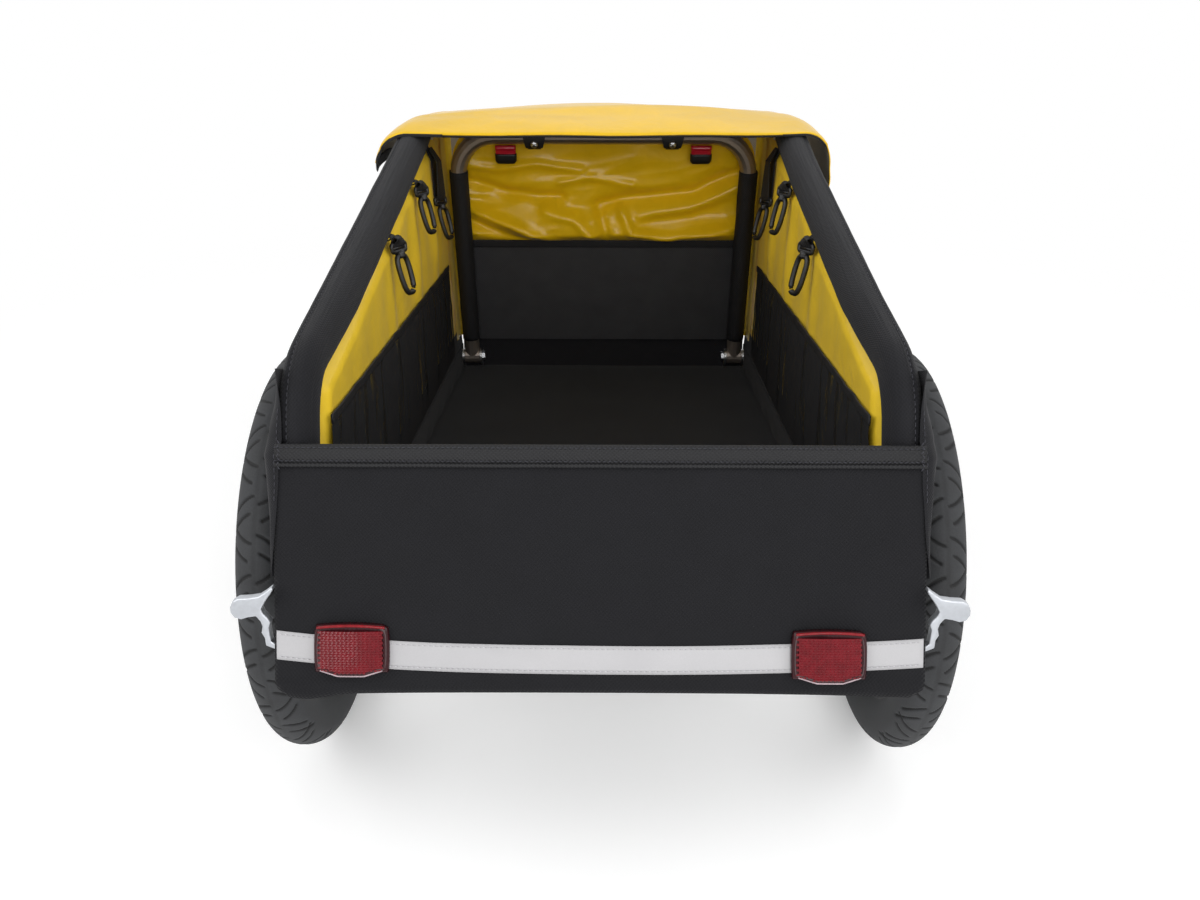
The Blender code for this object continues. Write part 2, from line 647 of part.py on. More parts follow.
def guard_outline():
    """The Y-shaped section of a wheel guard: a bulb, an arm up to a tip and a leg with a foot on the floor tube."""
    tube_face = SIDE_PLANE + TUBE_RADIUS + GAP
    outline = [(tube_face, FLOOR_TUBE_HEIGHT - 0.004), (tube_face + 0.008, FLOOR_TUBE_HEIGHT - 0.004)]
    outline += [(GUARD_LEG_X + 0.0012, FLOOR_TUBE_HEIGHT + 0.006), (GUARD_LEG_X + 0.0015, 0.038)]
    outline += arc((GUARD_LEG_X + 0.0035, 0.0435), 0.0035, -80, 70)
    outline += [(GUARD_LEG_X + 0.0022, GUARD_LEG_TOP - 0.002), (GUARD_LEG_X + 0.006, GUARD_LEG_TOP + 0.0045)]
    outline += arc((GUARD_BULB_X, GUARD_BULB_Z), GUARD_BULB_RADIUS, -125, 95, math.radians(20))
    outline += [(GUARD_LEG_X + 0.0085, 0.0695), (GUARD_LEG_X + 0.003, 0.0725), (GUARD_TIP_X + 0.0012, GUARD_TIP_Z)]
    outline += [(GUARD_TIP_X - 0.0008, GUARD_TIP_Z - 0.0010), (GUARD_LEG_X - 0.0015, 0.0660)]
    outline += [(GUARD_LEG_X - 0.0012, GUARD_LEG_TOP), (GUARD_LEG_X - 0.0050, 0.0475), (GUARD_LEG_X - 0.0018, 0.0430)]
    outline += [(GUARD_LEG_X - 0.0018, FLOOR_TUBE_HEIGHT + 0.008), (tube_face, FLOOR_TUBE_HEIGHT + 0.006)]
    return outline


def make_wheel_guards(frame, mats):
    for word, side in SIDES.items():
        outline = [(side * a, b) for a, b in guard_outline()]
        shape = plate(outline, along_y, GUARD_REAR_Y, GUARD_REAR_Y + GUARD_DEPTH)
        add(f"wheel_guard_{word}", shape, mats["aluminium"], frame)


# Rear panel

def make_rear_panel(frame, mats):
    half, radius = PANEL_HALF_WIDTH, PANEL_CORNER_RADIUS
    outline = arc((half - radius, radius), radius, -90, 0) + [(half, PANEL_HEIGHT), (-half, PANEL_HEIGHT)]
    outline += arc((radius - half, radius), radius, 180, 270)
    add("rear_panel", plate(outline, rear_point, -PANEL_THICKNESS, 0), mats["black_fabric"], frame)
    edge = half - 0.001
    low, high = PANEL_HEIGHT + GAP, PANEL_HEIGHT + GAP + BINDING_HEIGHT
    outline = [(-edge, low), (edge, low), (edge, high), (-edge, high)]
    middle = -PANEL_THICKNESS / 2
    shape = plate(outline, rear_point, middle - BINDING_THICKNESS / 2, middle + BINDING_THICKNESS / 2)
    binding = add("rear_top_binding", shape, mats["black_fabric"], frame)
    for side in SIDES.values():
        x = side * SIDE_PLANE
        cut(binding, rod((x, post_y(0.12), 0.12), (x, post_y(0.24), 0.24), SLEEVE_RADIUS + GAP))
    low = STRIP_BOTTOM
    outline = [(-edge, low), (edge, low), (edge, low + STRIP_WIDTH), (-edge, low + STRIP_WIDTH)]
    shape = plate(outline, rear_point, GAP, GAP + STRIP_THICKNESS)
    add("reflective_strip", shape, mats["reflective"], frame)
    for word, x in (("left", REFLECTOR_LEFT_X), ("right", REFLECTOR_RIGHT_X)):
        make_reflector(word, x, frame, mats)


def make_reflector(word, x, frame, mats):
    """A moulded reflector: a thin back plate under a lens whose edges slope in."""
    back = STRIP_THICKNESS + 2 * GAP
    radius = 0.007
    wide = rounded_box(REFLECTOR_WIDTH, REFLECTOR_BOTTOM, REFLECTOR_HEIGHT, radius, x)
    face = rounded_box(REFLECTOR_WIDTH - 0.004, REFLECTOR_BOTTOM + 0.002, REFLECTOR_HEIGHT - 0.004, radius - 0.001, x)
    rings = [[rear_point(a, b, depth) for a, b in outline]
             for outline, depth in ((wide, back), (wide, back + REFLECTOR_DEPTH - 0.0025), (face, back + REFLECTOR_DEPTH))]
    add(f"reflector_{word}", loft(rings), mats["reflector"], frame)


# Side frames

def side_path(side):
    x = Vector((side * SIDE_PLANE, 0, 0))
    corners = [Vector((0, post_y(HINGE_HEIGHT), HINGE_HEIGHT)), rear_corner(), front_corner(),
               Vector((0, leg_y(HINGE_HEIGHT), HINGE_HEIGHT))]
    return bent_path([corner + x for corner in corners], (REAR_BEND_RADIUS, FRONT_BEND_RADIUS))


def clipped_path(path, low_z, front_y):
    """The part of a side path that the padded sleeve covers: from a height on the post to a place along the rail."""
    start = Vector((path[0].x, post_y(low_z), low_z))
    end = Vector((path[0].x, front_y, rail_z(front_y)))
    middle = [p for p in path if p.z > low_z + 0.004 and p.y < front_y - 0.004]
    return [start] + middle + [end]


def make_side(word, side, bodies, mats):
    name = f"{word}_side_body"
    parent = body(name, bodies["stance"], (side * SIDE_PLANE, 0, HINGE_HEIGHT))
    path = side_path(side)
    x_axis = Vector((1, 0, 0))
    x = side * SIDE_PLANE
    frame_tube = add(f"side_frame_{word}", tube(path, x_axis, TUBE_RADIUS), mats["aluminium"], parent)
    for place in hinge_places().values():
        low, high = place["knuckle"]
        join(frame_tube, rod((x, low, HINGE_HEIGHT), (x, high, HINGE_HEIGHT), TUBE_RADIUS + 0.0004, 16))
        cut(frame_tube, rod((x, low - 0.01, HINGE_HEIGHT), (x, high + 0.01, HINGE_HEIGHT),
                            BOLT_RADIUS + PIN_CLEARANCE, 12))
    sleeve_path = clipped_path(path, SLEEVE_BOTTOM, front_bend_start().y - SLEEVE_TO_BEND)
    sleeve = add(f"rail_sleeve_{word}", pipe(sleeve_path, x_axis, SLEEVE_RADIUS, TUBE_RADIUS + GAP),
                 mats["black_fabric"], parent)
    make_side_panel(word, side, parent, mats)
    for place, (y, extra) in HOOK_PLACES.items():
        make_hook(word, side, place, y, extra, sleeve, parent, mats)
    for place, reach in hinge_places().items():
        bolt(f"side_hinge_bolt_{place}_{word}", (x, reach["knuckle"][0], HINGE_HEIGHT), (x, reach["ear"][1], HINGE_HEIGHT),
             bodies["frame"], mats["steel"])


def panel_outline(top_gap, post_gap, front_gap, bottom):
    """The side wall's outline of (y, z) pairs, held off the post and the rail, with a notch above the rear hinge's ear."""
    drop = top_gap * math.sqrt(1 + RAIL_SLOPE ** 2)
    rear_shift = post_gap / math.cos(REAR_LEAN)
    rear = rear_corner()
    slope = math.tan(REAR_LEAN)
    y = (post_y(0) + rear_shift + slope * (RAIL_HEIGHT_AT_AXLE - drop)) / (1 - slope * RAIL_SLOPE)
    top_rear = Vector((y, rail_z(y) - drop))
    lean = HOOP_PLANE.y / HOOP_PLANE.z
    front_shift = front_gap / HOOP_PLANE.z
    y = (leg_y(0) + front_shift + lean * (RAIL_HEIGHT_AT_AXLE - drop)) / (1 - lean * RAIL_SLOPE)
    top_front = Vector((y, rail_z(y) - drop))
    radius = REAR_BEND_RADIUS - post_gap
    notch_y, notch_z = hinge_places()["rear"]["ear"][1] + 0.002, HINGE_HEIGHT + 0.016
    flat = [Vector((post_y(notch_z) + rear_shift, notch_z, 0)), top_rear.to_3d(), top_front.to_3d(),
            Vector((leg_y(bottom) + front_shift, bottom, 0))]
    edge = [(p.x, p.y) for p in bent_path(flat, (radius, FRONT_BEND_RADIUS - 0.010))]
    return edge + [(notch_y, bottom), (notch_y, notch_z)]


def make_side_panel(word, side, parent, mats):
    outline = panel_outline(SLEEVE_RADIUS + GAP, SLEEVE_RADIUS + GAP, 0.010, SIDE_PANEL_BOTTOM)
    low, high = sorted((side * SIDE_PANEL_INNER, side * SIDE_PANEL_OUTER))
    add(f"side_panel_{word}", plate(outline, across_x, low, high),
        mats["yellow_fabric"], parent)
    outer = SIDE_PANEL_INNER - GAP
    inner = outer - POCKET_THICKNESS
    bottom = TRAY_WALL_TOP + 0.0025
    behind = SLEEVE_RADIUS / math.cos(REAR_LEAN) + 0.0015
    outline = [(post_y(bottom) + behind, bottom), (POCKET_FRONT_Y + 0.02, bottom), (POCKET_FRONT_Y, POCKET_TOP),
               (post_y(POCKET_TOP) + behind, POCKET_TOP)]
    low, high = sorted((side * inner, side * outer))
    add(f"mesh_pocket_{word}", plate(outline, across_x, low, high),
        mats["black_mesh"], parent)


def make_hook(word, side, place, y, extra, sleeve, parent, mats):
    """A moulded snap hook on the webbing tab that is sewn under the rail's sleeve."""
    tab_inner = HOOK_PLANE + HOOK_THICKNESS / 2 - TAB_THICKNESS / 2
    tab_bottom = rail_z(y) - SLEEVE_RADIUS - TAB_DROP - extra
    half = TAB_WIDTH / 2
    ends = (y - half, y + half)
    hanging = [(ends[0], tab_bottom), (ends[1], tab_bottom), (ends[1], rail_z(ends[1]) - 0.0145),
               (ends[0], rail_z(ends[0]) - 0.0145)]
    sewn = [(ends[0] + 0.0004, rail_z(ends[0]) - 0.0165), (ends[1] - 0.0004, rail_z(ends[1]) - 0.0165),
            (ends[1] - 0.0004, rail_z(ends[1]) - 0.0143), (ends[0] + 0.0004, rail_z(ends[0]) - 0.0143)]
    join(sleeve, plate(hanging, across_x, *sorted((side * tab_inner, side * (tab_inner + TAB_THICKNESS)))))
    join(sleeve, plate(sewn, across_x, *sorted((side * (tab_inner + 0.0002), side * (SIDE_PLANE - 0.004)))))
    eye_top = tab_bottom - GAP
    pivot = (side * (HOOK_PLANE + HOOK_THICKNESS / 2), y, eye_top)
    hook_body = body(f"{word}_hook_{place}_body", parent, pivot)
    hook_body.location = Vector(pivot) - parent.location
    to_point = lambda a, b, depth: Vector((side * (HOOK_PLANE + depth), y + a, eye_top + b))
    depth = (0, HOOK_THICKNESS)
    if side < 0:
        depth = (HOOK_THICKNESS, 0)
    eye = plate(rounded_box(HOOK_EYE_WIDTH, -HOOK_EYE_HEIGHT, HOOK_EYE_HEIGHT, 0.002), to_point, *depth)
    hook = add(f"snap_hook_{place}_{word}", eye, mats["black_plastic"], hook_body)
    hook.location = -Vector(pivot)
    centre = -HOOK_EYE_HEIGHT - HOOK_RING_HEIGHT / 2 - 0.002
    ring = ellipse(HOOK_RING_WIDTH / 2, HOOK_RING_HEIGHT / 2, centre)
    hole = ellipse(HOOK_RING_WIDTH / 2 - HOOK_WIRE, HOOK_RING_HEIGHT / 2 - HOOK_WIRE, centre)
    neck = [(-0.005, centre + HOOK_RING_HEIGHT / 2 - 0.003), (0.005, centre + HOOK_RING_HEIGHT / 2 - 0.003),
            (0.005, -HOOK_EYE_HEIGHT + 0.0015), (-0.005, -HOOK_EYE_HEIGHT + 0.0015)]
    past = (depth[0] - 0.002, depth[1] + 0.002) if depth[1] else (depth[0] + 0.002, depth[1] - 0.002)
    slot = rounded_box(HOOK_SLOT_WIDTH, -HOOK_EYE_HEIGHT + 0.0025, HOOK_SLOT_HEIGHT, 0.0012)
    gate = [(HOOK_RING_WIDTH / 2 - HOOK_WIRE - 0.002, centre - 0.0035), (HOOK_RING_WIDTH / 2 + 0.002, centre - 0.0065),
            (HOOK_RING_WIDTH / 2 + 0.002, centre - 0.0065 + HOOK_GATE_GAP),
            (HOOK_RING_WIDTH / 2 - HOOK_WIRE - 0.002, centre - 0.0035 + HOOK_GATE_GAP)]
    shapes = [plate(outline, to_point, *depth) for outline in (neck, ring)]
    cuts = [plate(outline, to_point, *past) for outline in (slot, hole, gate)]
    for shape, operation in [(s, "UNION") for s in shapes] + [(c, "DIFFERENCE") for c in cuts]:
        boolean(hook, shape, operation)
    for modifier in hook.modifiers:
        modifier.object.location = -Vector(pivot)


def ellipse(half_width, half_height, centre_z, sides=20):
    angles = [2 * math.pi * i / sides for i in range(sides)]
    return [(half_width * math.cos(a), centre_z + half_height * math.sin(a)) for a in angles]


# Front hoop

def hoop_point(x, up, forward):
    """A point in the hoop's plane: x across, up along its legs from the hinge, forward out of the plane."""
    return Vector((x, HOOP_HINGE_Y, HOOP_HINGE_Z)) + HOOP_PLANE * up + HOOP_FORWARD * forward


def hoop_length():
    return math.hypot(HOOP_TOP_Y - HOOP_HINGE_Y, HOOP_TOP_Z - HOOP_HINGE_Z)


def make_hoop(bodies, mats):
    parent = body("front_hoop_body", bodies["stance"], (0, HOOP_HINGE_Y, HOOP_HINGE_Z))
    bodies["hoop"] = parent
    top = hoop_length()
    corners = [hoop_point(-HOOP_HALF_WIDTH, 0, 0), hoop_point(-HOOP_HALF_WIDTH, top, 0),
               hoop_point(HOOP_HALF_WIDTH, top, 0), hoop_point(HOOP_HALF_WIDTH, 0, 0)]
    path = bent_path(corners, (HOOP_BEND_RADIUS, HOOP_BEND_RADIUS))
    hoop = add("front_hoop", tube(path, HOOP_FORWARD, HOOP_RADIUS), mats["hoop_tube"], parent)
    for word, side in SIDES.items():
        x = side * HOOP_HALF_WIDTH
        at = (HOOP_HINGE_Y, HOOP_HINGE_Z)
        half = HOOP_RADIUS
        join(hoop, rod((x - half, *at), (x + half, *at), HOOP_RADIUS + 0.0004, 16))
        cut(hoop, rod((x - half - 0.01, *at), (x + half + 0.01, *at), BOLT_RADIUS + PIN_CLEARANCE, 12))
        edge = HOOP_RADIUS + RUNNING_GAP + HOOP_EAR_THICKNESS
        bolt(f"hoop_pivot_bolt_{word}", (x - edge, *at), (x + edge, *at), bodies["frame"], mats["steel"])
        make_clamp(word, side, top, parent, mats)
        make_release_tab(word, side, top, parent, mats)
    outline = rounded_box(2 * FRONT_PANEL_HALF_WIDTH, FRONT_PANEL_FOOT, top + HOOP_RADIUS - FRONT_PANEL_FOOT,
                          HOOP_BEND_RADIUS)
    low = HOOP_RADIUS + CLAMP_WALL + 2 * GAP
    add("front_panel", plate(outline, hoop_point, low, low + FRONT_PANEL_THICKNESS), mats["yellow_fabric"], parent)
    make_cover(parent, mats)


def make_clamp(word, side, top, parent, mats):
    """A saddle clamp round the hoop's bar, with a screw on its lower side and a foot that backs the fabric."""
    x = side * CLAMP_X
    outer = HOOP_RADIUS + CLAMP_WALL
    outline = rounded_box(2 * outer, -outer, 2 * outer, 0.006, top)
    to_point = lambda a, b, depth: hoop_point(depth, a, b)
    clamp = add(f"hoop_clamp_{word}", plate(outline, to_point, x - CLAMP_WIDTH / 2, x + CLAMP_WIDTH / 2),
                mats["black_plastic"], parent)
    cut(clamp, rod(hoop_point(x - 0.02, top, 0), hoop_point(x + 0.02, top, 0), HOOP_RADIUS + GAP))
    join(clamp, rod(hoop_point(x, top - outer * 0.45, -outer + 0.001), hoop_point(x, top - outer * 0.45, -outer - 0.0022),
                    SCREW_HEAD_RADIUS, 12))


def make_release_tab(word, side, top, parent, mats):
    """A red lever under the bar. Its barrel turns on the bar's lower side and its blade hangs down."""
    x = side * TAB_LEVER_X
    drop = HOOP_RADIUS + TAB_BARREL_RADIUS + TAB_PIN_DROP
    pivot = hoop_point(x, top - drop, -0.002)
    tab_body = body(f"{word}_release_tab_body", parent, pivot)
    tab_body.location = pivot - parent.location
    half = TAB_LEVER_WIDTH / 2
    across = Vector((1, 0, 0))
    blade = [(0, -TAB_LEVER_THICKNESS / 2), (0, TAB_LEVER_THICKNESS / 2),
             (-TAB_LEVER_LENGTH, TAB_LEVER_THICKNESS / 2 + 0.002), (-TAB_LEVER_LENGTH - 0.001, -TAB_LEVER_THICKNESS / 2)]
    shape = plate(blade, lambda a, b, depth: pivot + HOOP_PLANE * a + HOOP_FORWARD * b + across * depth,
                  -half + 0.001, half - 0.001)
    lever = add(f"release_tab_{word}", rod(pivot - across * half, pivot + across * half, TAB_BARREL_RADIUS, 12),
                mats["red_plastic"], tab_body)
    lever.location = -pivot
    boolean(lever, shape, "UNION")
    lever.modifiers[0].object.location = -pivot


def cover_section(y, shoulder):
    """The cover's section at a place along the trailer: a low arch with a flap down each side."""
    half, skin = COVER_HALF_WIDTH, COVER_THICKNESS
    bottom = shoulder - COVER_FLAP_DROP
    right = [(half, bottom), (half, shoulder - 0.028), (half - 0.009, shoulder - 0.012), (half - 0.028, shoulder)]
    right_inside = [(half - skin, bottom), (half - skin, shoulder - 0.031), (half - 0.013, shoulder - 0.0165),
                    (half - 0.030, shoulder - skin)]
    top = shoulder + COVER_CROWN
    outside = right + [(0, top)] + [(-x, z) for x, z in reversed(right)]
    inside = [(-x, z) for x, z in right_inside] + [(0, top - skin)] + right_inside[::-1]
    return [Vector((x, y, z)) for x, z in outside + inside]


def make_cover(parent, mats):
    """The cover as it lies turned forward: an arch over the hoop and the rail ends, with an apron in front."""
    half, skin = COVER_HALF_WIDTH, COVER_THICKNESS
    over_rail = SLEEVE_RADIUS * math.sqrt(1 + RAIL_SLOPE ** 2) + GAP + skin
    rest = front_bend_start().y
    level = rail_z(rest) + over_rail
    rear = rail_z(COVER_REAR_Y) + over_rail
    front = level - COVER_FRONT_DROP
    sections = [(COVER_REAR_Y, rear), (rest, level), (HOOP_TOP_Y, level), (COVER_FRONT_Y, front)]
    cover = add("cover", loft([cover_section(y, shoulder) for y, shoulder in sections]), mats["yellow_fabric"], parent)
    y = COVER_FRONT_Y
    apron = [(y - 2 * skin, front - skin), (y, front - 0.001), (y + 0.045, COVER_APRON_BOTTOM),
             (y + 0.045 - skin, COVER_APRON_BOTTOM)]
    join(cover, plate(apron, across_x, -half + 0.030, half - 0.030))


# Tow bar

def make_tow_bar(bodies, mats):
    pivot = Vector((TOW_X, TOW_PIVOT_Y, TOW_HEIGHT))
    parent = body("tow_bar_body", bodies["stance"], pivot)
    corners = [Vector((TOW_X, TOW_PIVOT_Y - TOW_STUB, TOW_HEIGHT)), Vector((TOW_X, TOW_STRAIGHT_END_Y, TOW_HEIGHT)),
               Vector((TOW_HITCH_X, TOW_CROSS_END_Y, TOW_HEIGHT)), Vector((TOW_HITCH_X, TOW_END_Y, TOW_HEIGHT))]
    up = Vector((0, 0, 1))
    bar = add("tow_bar", tube(bent_path(corners, (TOW_BEND_RADIUS, TOW_BEND_RADIUS)), up, TOW_RADIUS),
              mats["aluminium"], parent)
    reach = up * (TOW_RADIUS + 0.01)
    cut(bar, rod(pivot - reach, pivot + reach, TOW_PIN_RADIUS + PIN_CLEARANCE, 12))
    make_tow_bracket(bodies["frame"], mats)
    half = TOW_RADIUS + RUNNING_GAP + TOW_PLATE_THICKNESS
    bolt("tow_bar_pivot_bolt", pivot - up * half, pivot + up * half, bodies["frame"], mats["steel"], TOW_PIN_RADIUS)

    start = Vector((TOW_HITCH_X, TOW_END_Y + GAP, TOW_HEIGHT))
    ahead = Vector((0, 1, 0))
    across = Vector((1, 0, 0))
    steps = ((0, 0.0125), (0.004, FLEX_RADIUS), (0.012, FLEX_RADIUS), (0.015, FLEX_RADIUS - 0.003),
             (FLEX_LENGTH - 0.015, FLEX_RADIUS - 0.003), (FLEX_LENGTH - 0.012, FLEX_RADIUS),
             (FLEX_LENGTH - 0.003, FLEX_RADIUS), (FLEX_LENGTH, 0.0125))
    add("hitch_flex", loft([circle(start + ahead * s, across, up, r) for s, r in steps]), mats["elastomer"], parent)
    make_safety_strap(parent, mats)
    make_coupler(start + ahead * (FLEX_LENGTH + GAP), start + ahead * (FLEX_LENGTH / 2), parent, mats)


def make_safety_strap(tow_bar, mats):
    """A webbing strap that goes round the bicycle's frame, rolled up on its band behind the hitch."""
    start = Vector((TOW_HITCH_X, TOW_END_Y - 0.042, TOW_HEIGHT))
    end = start + Vector((0, STRAP_WIDTH, 0))
    path = [start, end]
    strap = add("safety_strap", pipe(path, Vector((0, 0, 1)), TOW_RADIUS + 0.0018, TOW_RADIUS + GAP),
                mats["black_fabric"], tow_bar)
    roll_z = TOW_HEIGHT + TOW_RADIUS + 0.0068
    join(strap, rod((start.x, start.y, roll_z), (end.x, end.y, roll_z), 0.0065))


def make_tow_bracket(frame, mats):
    """A channel under the front cross tube, open towards the middle so that the bar can swing in."""
    inner = TOW_RADIUS + RUNNING_GAP
    outer = inner + TOW_PLATE_THICKNESS
    wall_in = TOW_X - TOW_BRACKET_WALL_OFFSET
    wall_out = wall_in - TOW_PLATE_THICKNESS
    lip = TOW_X + 0.0145
    rear = TOW_PIVOT_Y - 0.0145
    section = [(wall_out, -outer), (lip, -outer), (lip, -inner), (wall_in, -inner), (wall_in, inner), (lip, inner),
               (lip, outer), (wall_out, outer)]
    shape = plate([(a, TOW_HEIGHT + b) for a, b in section], along_y,
                  rear, TOW_BRACKET_FRONT_Y)
    bracket = add("tow_bar_bracket", shape, mats["aluminium"], frame)
    cut(bracket, rod((TOW_X, TOW_PIVOT_Y, TOW_HEIGHT - 0.03), (TOW_X, TOW_PIVOT_Y, TOW_HEIGHT + 0.03),
                     TOW_PIN_RADIUS + PIN_CLEARANCE, 12))


def make_coupler(start, centre, tow_bar, mats):
    """A forked end with a ringed pin, which closes on the hitch at the bicycle's rear axle."""
    parent = body("hitch_body", tow_bar, centre)
    parent.location = centre - tow_bar.location
    ahead, across, up = Vector((0, 1, 0)), Vector((1, 0, 0)), Vector((0, 0, 1))
    body_end = start + ahead * COUPLER_BODY_LENGTH
    neck = loft([circle(start, across, up, 0.0105), circle(start + ahead * 0.003, across, up, COUPLER_RADIUS),
                 circle(body_end, across, up, COUPLER_RADIUS)])
    coupler = add("hitch_coupler", neck, mats["steel"], parent)
    coupler.location = -centre
    half = COUPLER_SLOT / 2 + COUPLER_EAR_THICKNESS
    eye = COUPLER_EAR_LENGTH - COUPLER_RADIUS
    outline = ([(-0.012, -COUPLER_RADIUS * 0.8)] + arc((eye, 0), COUPLER_RADIUS * 0.8, -90, 90)
               + [(-0.012, COUPLER_RADIUS * 0.8)])
    to_point = lambda a, b, depth: body_end + ahead * a + up * b + across * depth
    slot = [(0.0, -0.03), (0.06, -0.03), (0.06, 0.03), (0.0, 0.03)]
    boolean(coupler, plate(outline, to_point, -half, half), "UNION")
    boolean(coupler, plate(slot, to_point, -COUPLER_SLOT / 2, COUPLER_SLOT / 2), "DIFFERENCE")
    pin_at = body_end + ahead * eye
    bore = rod(pin_at - across * 0.03, pin_at + across * 0.03, HITCH_PIN_RADIUS + PIN_CLEARANCE, 12)
    boolean(coupler, bore, "DIFFERENCE")
    for modifier in coupler.modifiers:
        modifier.object.location = -centre
    head = half + GAP
    steps = ((-head - 0.0045, HITCH_PIN_RADIUS), (head, HITCH_PIN_RADIUS), (head, 0.0068), (head + 0.005, 0.0068),
             (head + 0.006, 0.0055))
    pin = add("hitch_pin", loft([circle(pin_at + across * s, ahead, up, r, 12) for s, r in steps]), mats["steel"], parent)
    pin.location = -centre
    ring_at = pin_at + across * (head + 0.006)
    ring = []
    for i in range(20):
        angle = 2 * math.pi * i / 20
        out = across * math.cos(angle) + ahead * math.sin(angle)
        ring.append(circle(ring_at + out * HITCH_RING_RADIUS + across * (HITCH_RING_RADIUS - 0.001), out, up,
                           HITCH_RING_WIRE, 6))
    boolean(pin, loft(ring, closed=True), "UNION")
    pin.modifiers[0].object.location = -centre


# Assembly

def stand_on_ground(stance):
    """Tips the trailer until the hitch and the tyres touch the ground, then puts the origin under its middle."""
    foot_y = TOW_END_Y + FLEX_LENGTH + COUPLER_BODY_LENGTH
    foot_z = TOW_HEIGHT - COUPLER_RADIUS
    distance = math.hypot(foot_y, foot_z)
    tip = math.asin(TYRE_RADIUS / distance) + math.atan2(foot_z, foot_y)
    stance.rotation_euler = (-tip, 0, 0)
    bpy.context.view_layer.update()
    graph = bpy.context.evaluated_depsgraph_get()
    low, high = Vector((1e9,) * 3), Vector((-1e9,) * 3)
    for obj in bpy.context.scene.objects:
        if obj.type != "MESH" or obj.hide_render:
            continue
        evaluated = obj.evaluated_get(graph)
        for vertex in evaluated.data.vertices:
            point = evaluated.matrix_world @ vertex.co
            low = Vector(map(min, low, point))
            high = Vector(map(max, high, point))
    stance.location = (-(low.x + high.x) / 2, -(low.y + high.y) / 2, -low.z)


def main():
    for obj in list(bpy.data.objects):
        bpy.data.objects.remove(obj)
    mats = make_materials()
    stance = body("stance", None)
    bodies = {"stance": stance, "frame": body("frame_body", stance)}
    frame = bodies["frame"]
    make_floor_frame(frame, mats)
    make_floor_tray(frame, mats)
    make_wheel_guards(frame, mats)
    make_rear_panel(frame, mats)
    for word, side in SIDES.items():
        make_wheel(word, side, frame, bodies, mats)
        make_side(word, side, bodies, mats)
    make_hoop(bodies, mats)
    make_tow_bar(bodies, mats)
    stand_on_ground(stance)


main()
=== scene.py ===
"""A folding bicycle cargo trailer: fabric, webbing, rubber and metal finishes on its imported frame.

Pieces are written in the trailer's own frame: X right, Y forward, Z up, with the origin on the axle line.
"""

import json
import math

import bpy
from bpy.props import FloatProperty, FloatVectorProperty, PointerProperty
from mathutils import Matrix, Vector, noise


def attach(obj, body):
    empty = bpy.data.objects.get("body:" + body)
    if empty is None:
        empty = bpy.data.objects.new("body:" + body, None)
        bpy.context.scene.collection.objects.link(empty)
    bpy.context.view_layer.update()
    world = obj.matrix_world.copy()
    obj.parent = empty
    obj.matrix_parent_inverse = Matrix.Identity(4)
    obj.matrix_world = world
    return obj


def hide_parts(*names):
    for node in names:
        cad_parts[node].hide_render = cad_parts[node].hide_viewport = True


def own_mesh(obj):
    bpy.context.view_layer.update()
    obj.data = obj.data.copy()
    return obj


bl_info = {
    "name": "Bicycle cargo trailer",
    "version": (1, 0, 0),
    "blender": (4, 5, 0),
    "location": "View3D > Sidebar > Trailer",
    "description": "Builds the fabric body, wheels and fittings of a folding bicycle cargo trailer on its frame",
    "category": "Object",
}

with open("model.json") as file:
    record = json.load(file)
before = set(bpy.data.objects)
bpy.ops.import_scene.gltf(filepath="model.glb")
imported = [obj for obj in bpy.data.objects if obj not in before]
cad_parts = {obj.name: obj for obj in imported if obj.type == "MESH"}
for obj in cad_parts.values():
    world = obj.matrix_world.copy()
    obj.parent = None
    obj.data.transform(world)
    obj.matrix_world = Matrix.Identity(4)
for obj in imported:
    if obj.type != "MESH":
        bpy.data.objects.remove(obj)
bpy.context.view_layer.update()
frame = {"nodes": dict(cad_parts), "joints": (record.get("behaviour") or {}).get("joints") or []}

JOINTS = {joint["name"]: joint for joint in frame["joints"]}
AXLE = Vector(JOINTS["left_wheel_spin"]["pos_m"])
UP = -Vector(JOINTS["tow_bar_fold"]["axis"])
ACROSS = Vector((1, 0, 0))
FORWARD = UP.cross(ACROSS)
TRAILER = Matrix.Translation((0, AXLE.y, AXLE.z)) @ Matrix((ACROSS, FORWARD, UP)).transposed().to_4x4()
SIDES = {"left": -1, "right": 1}

# Places taken from the frame, in metres
WHEEL_X = 0.286
TYRE_RADIUS = 0.200
TYRE_HALF_WIDTH = 0.0205
TYRE_SEAT = 0.1633
REAR_LEAN = math.atan(0.343)
PANEL_HALF_WIDTH = 0.247
PANEL_HEIGHT = 0.171
PANEL_CORNER = 0.011
BINDING_HEIGHT = 0.0155
POST_SETBACK = 0.0245
RAIL_SLOPE = 0.2563
RAIL_HEIGHT = 0.2758
SIDE_PLANE = 0.232
SLEEVE_RADIUS = 0.018
SLEEVE_BOTTOM = 0.103
REAR_BEND = 0.060
FRONT_BEND = 0.052
HINGE_HEIGHT = 0.080
WALL_PLANE = 0.2164
WALL_BOTTOM = 0.0825
HOOK_PLANE = 0.2128
HOOK_PLACES = {"rear": (0.105, 0.0), "middle": (0.255, 0.0), "front": (0.379, 0.045)}
HOOP_RADIUS = 0.011
HOOP_HALF_WIDTH = 0.1965
HOOP_FOOT = Vector((0, 0.545, 0.044))
HOOP_TOP = Vector((0, 0.474, 0.366))
HOOP_BEND = 0.052
HOOP_ALONG = (HOOP_TOP - HOOP_FOOT).normalized()
HOOP_AHEAD = Vector((0, HOOP_ALONG.z, -HOOP_ALONG.y))
HOOP_LENGTH = (HOOP_TOP - HOOP_FOOT).length


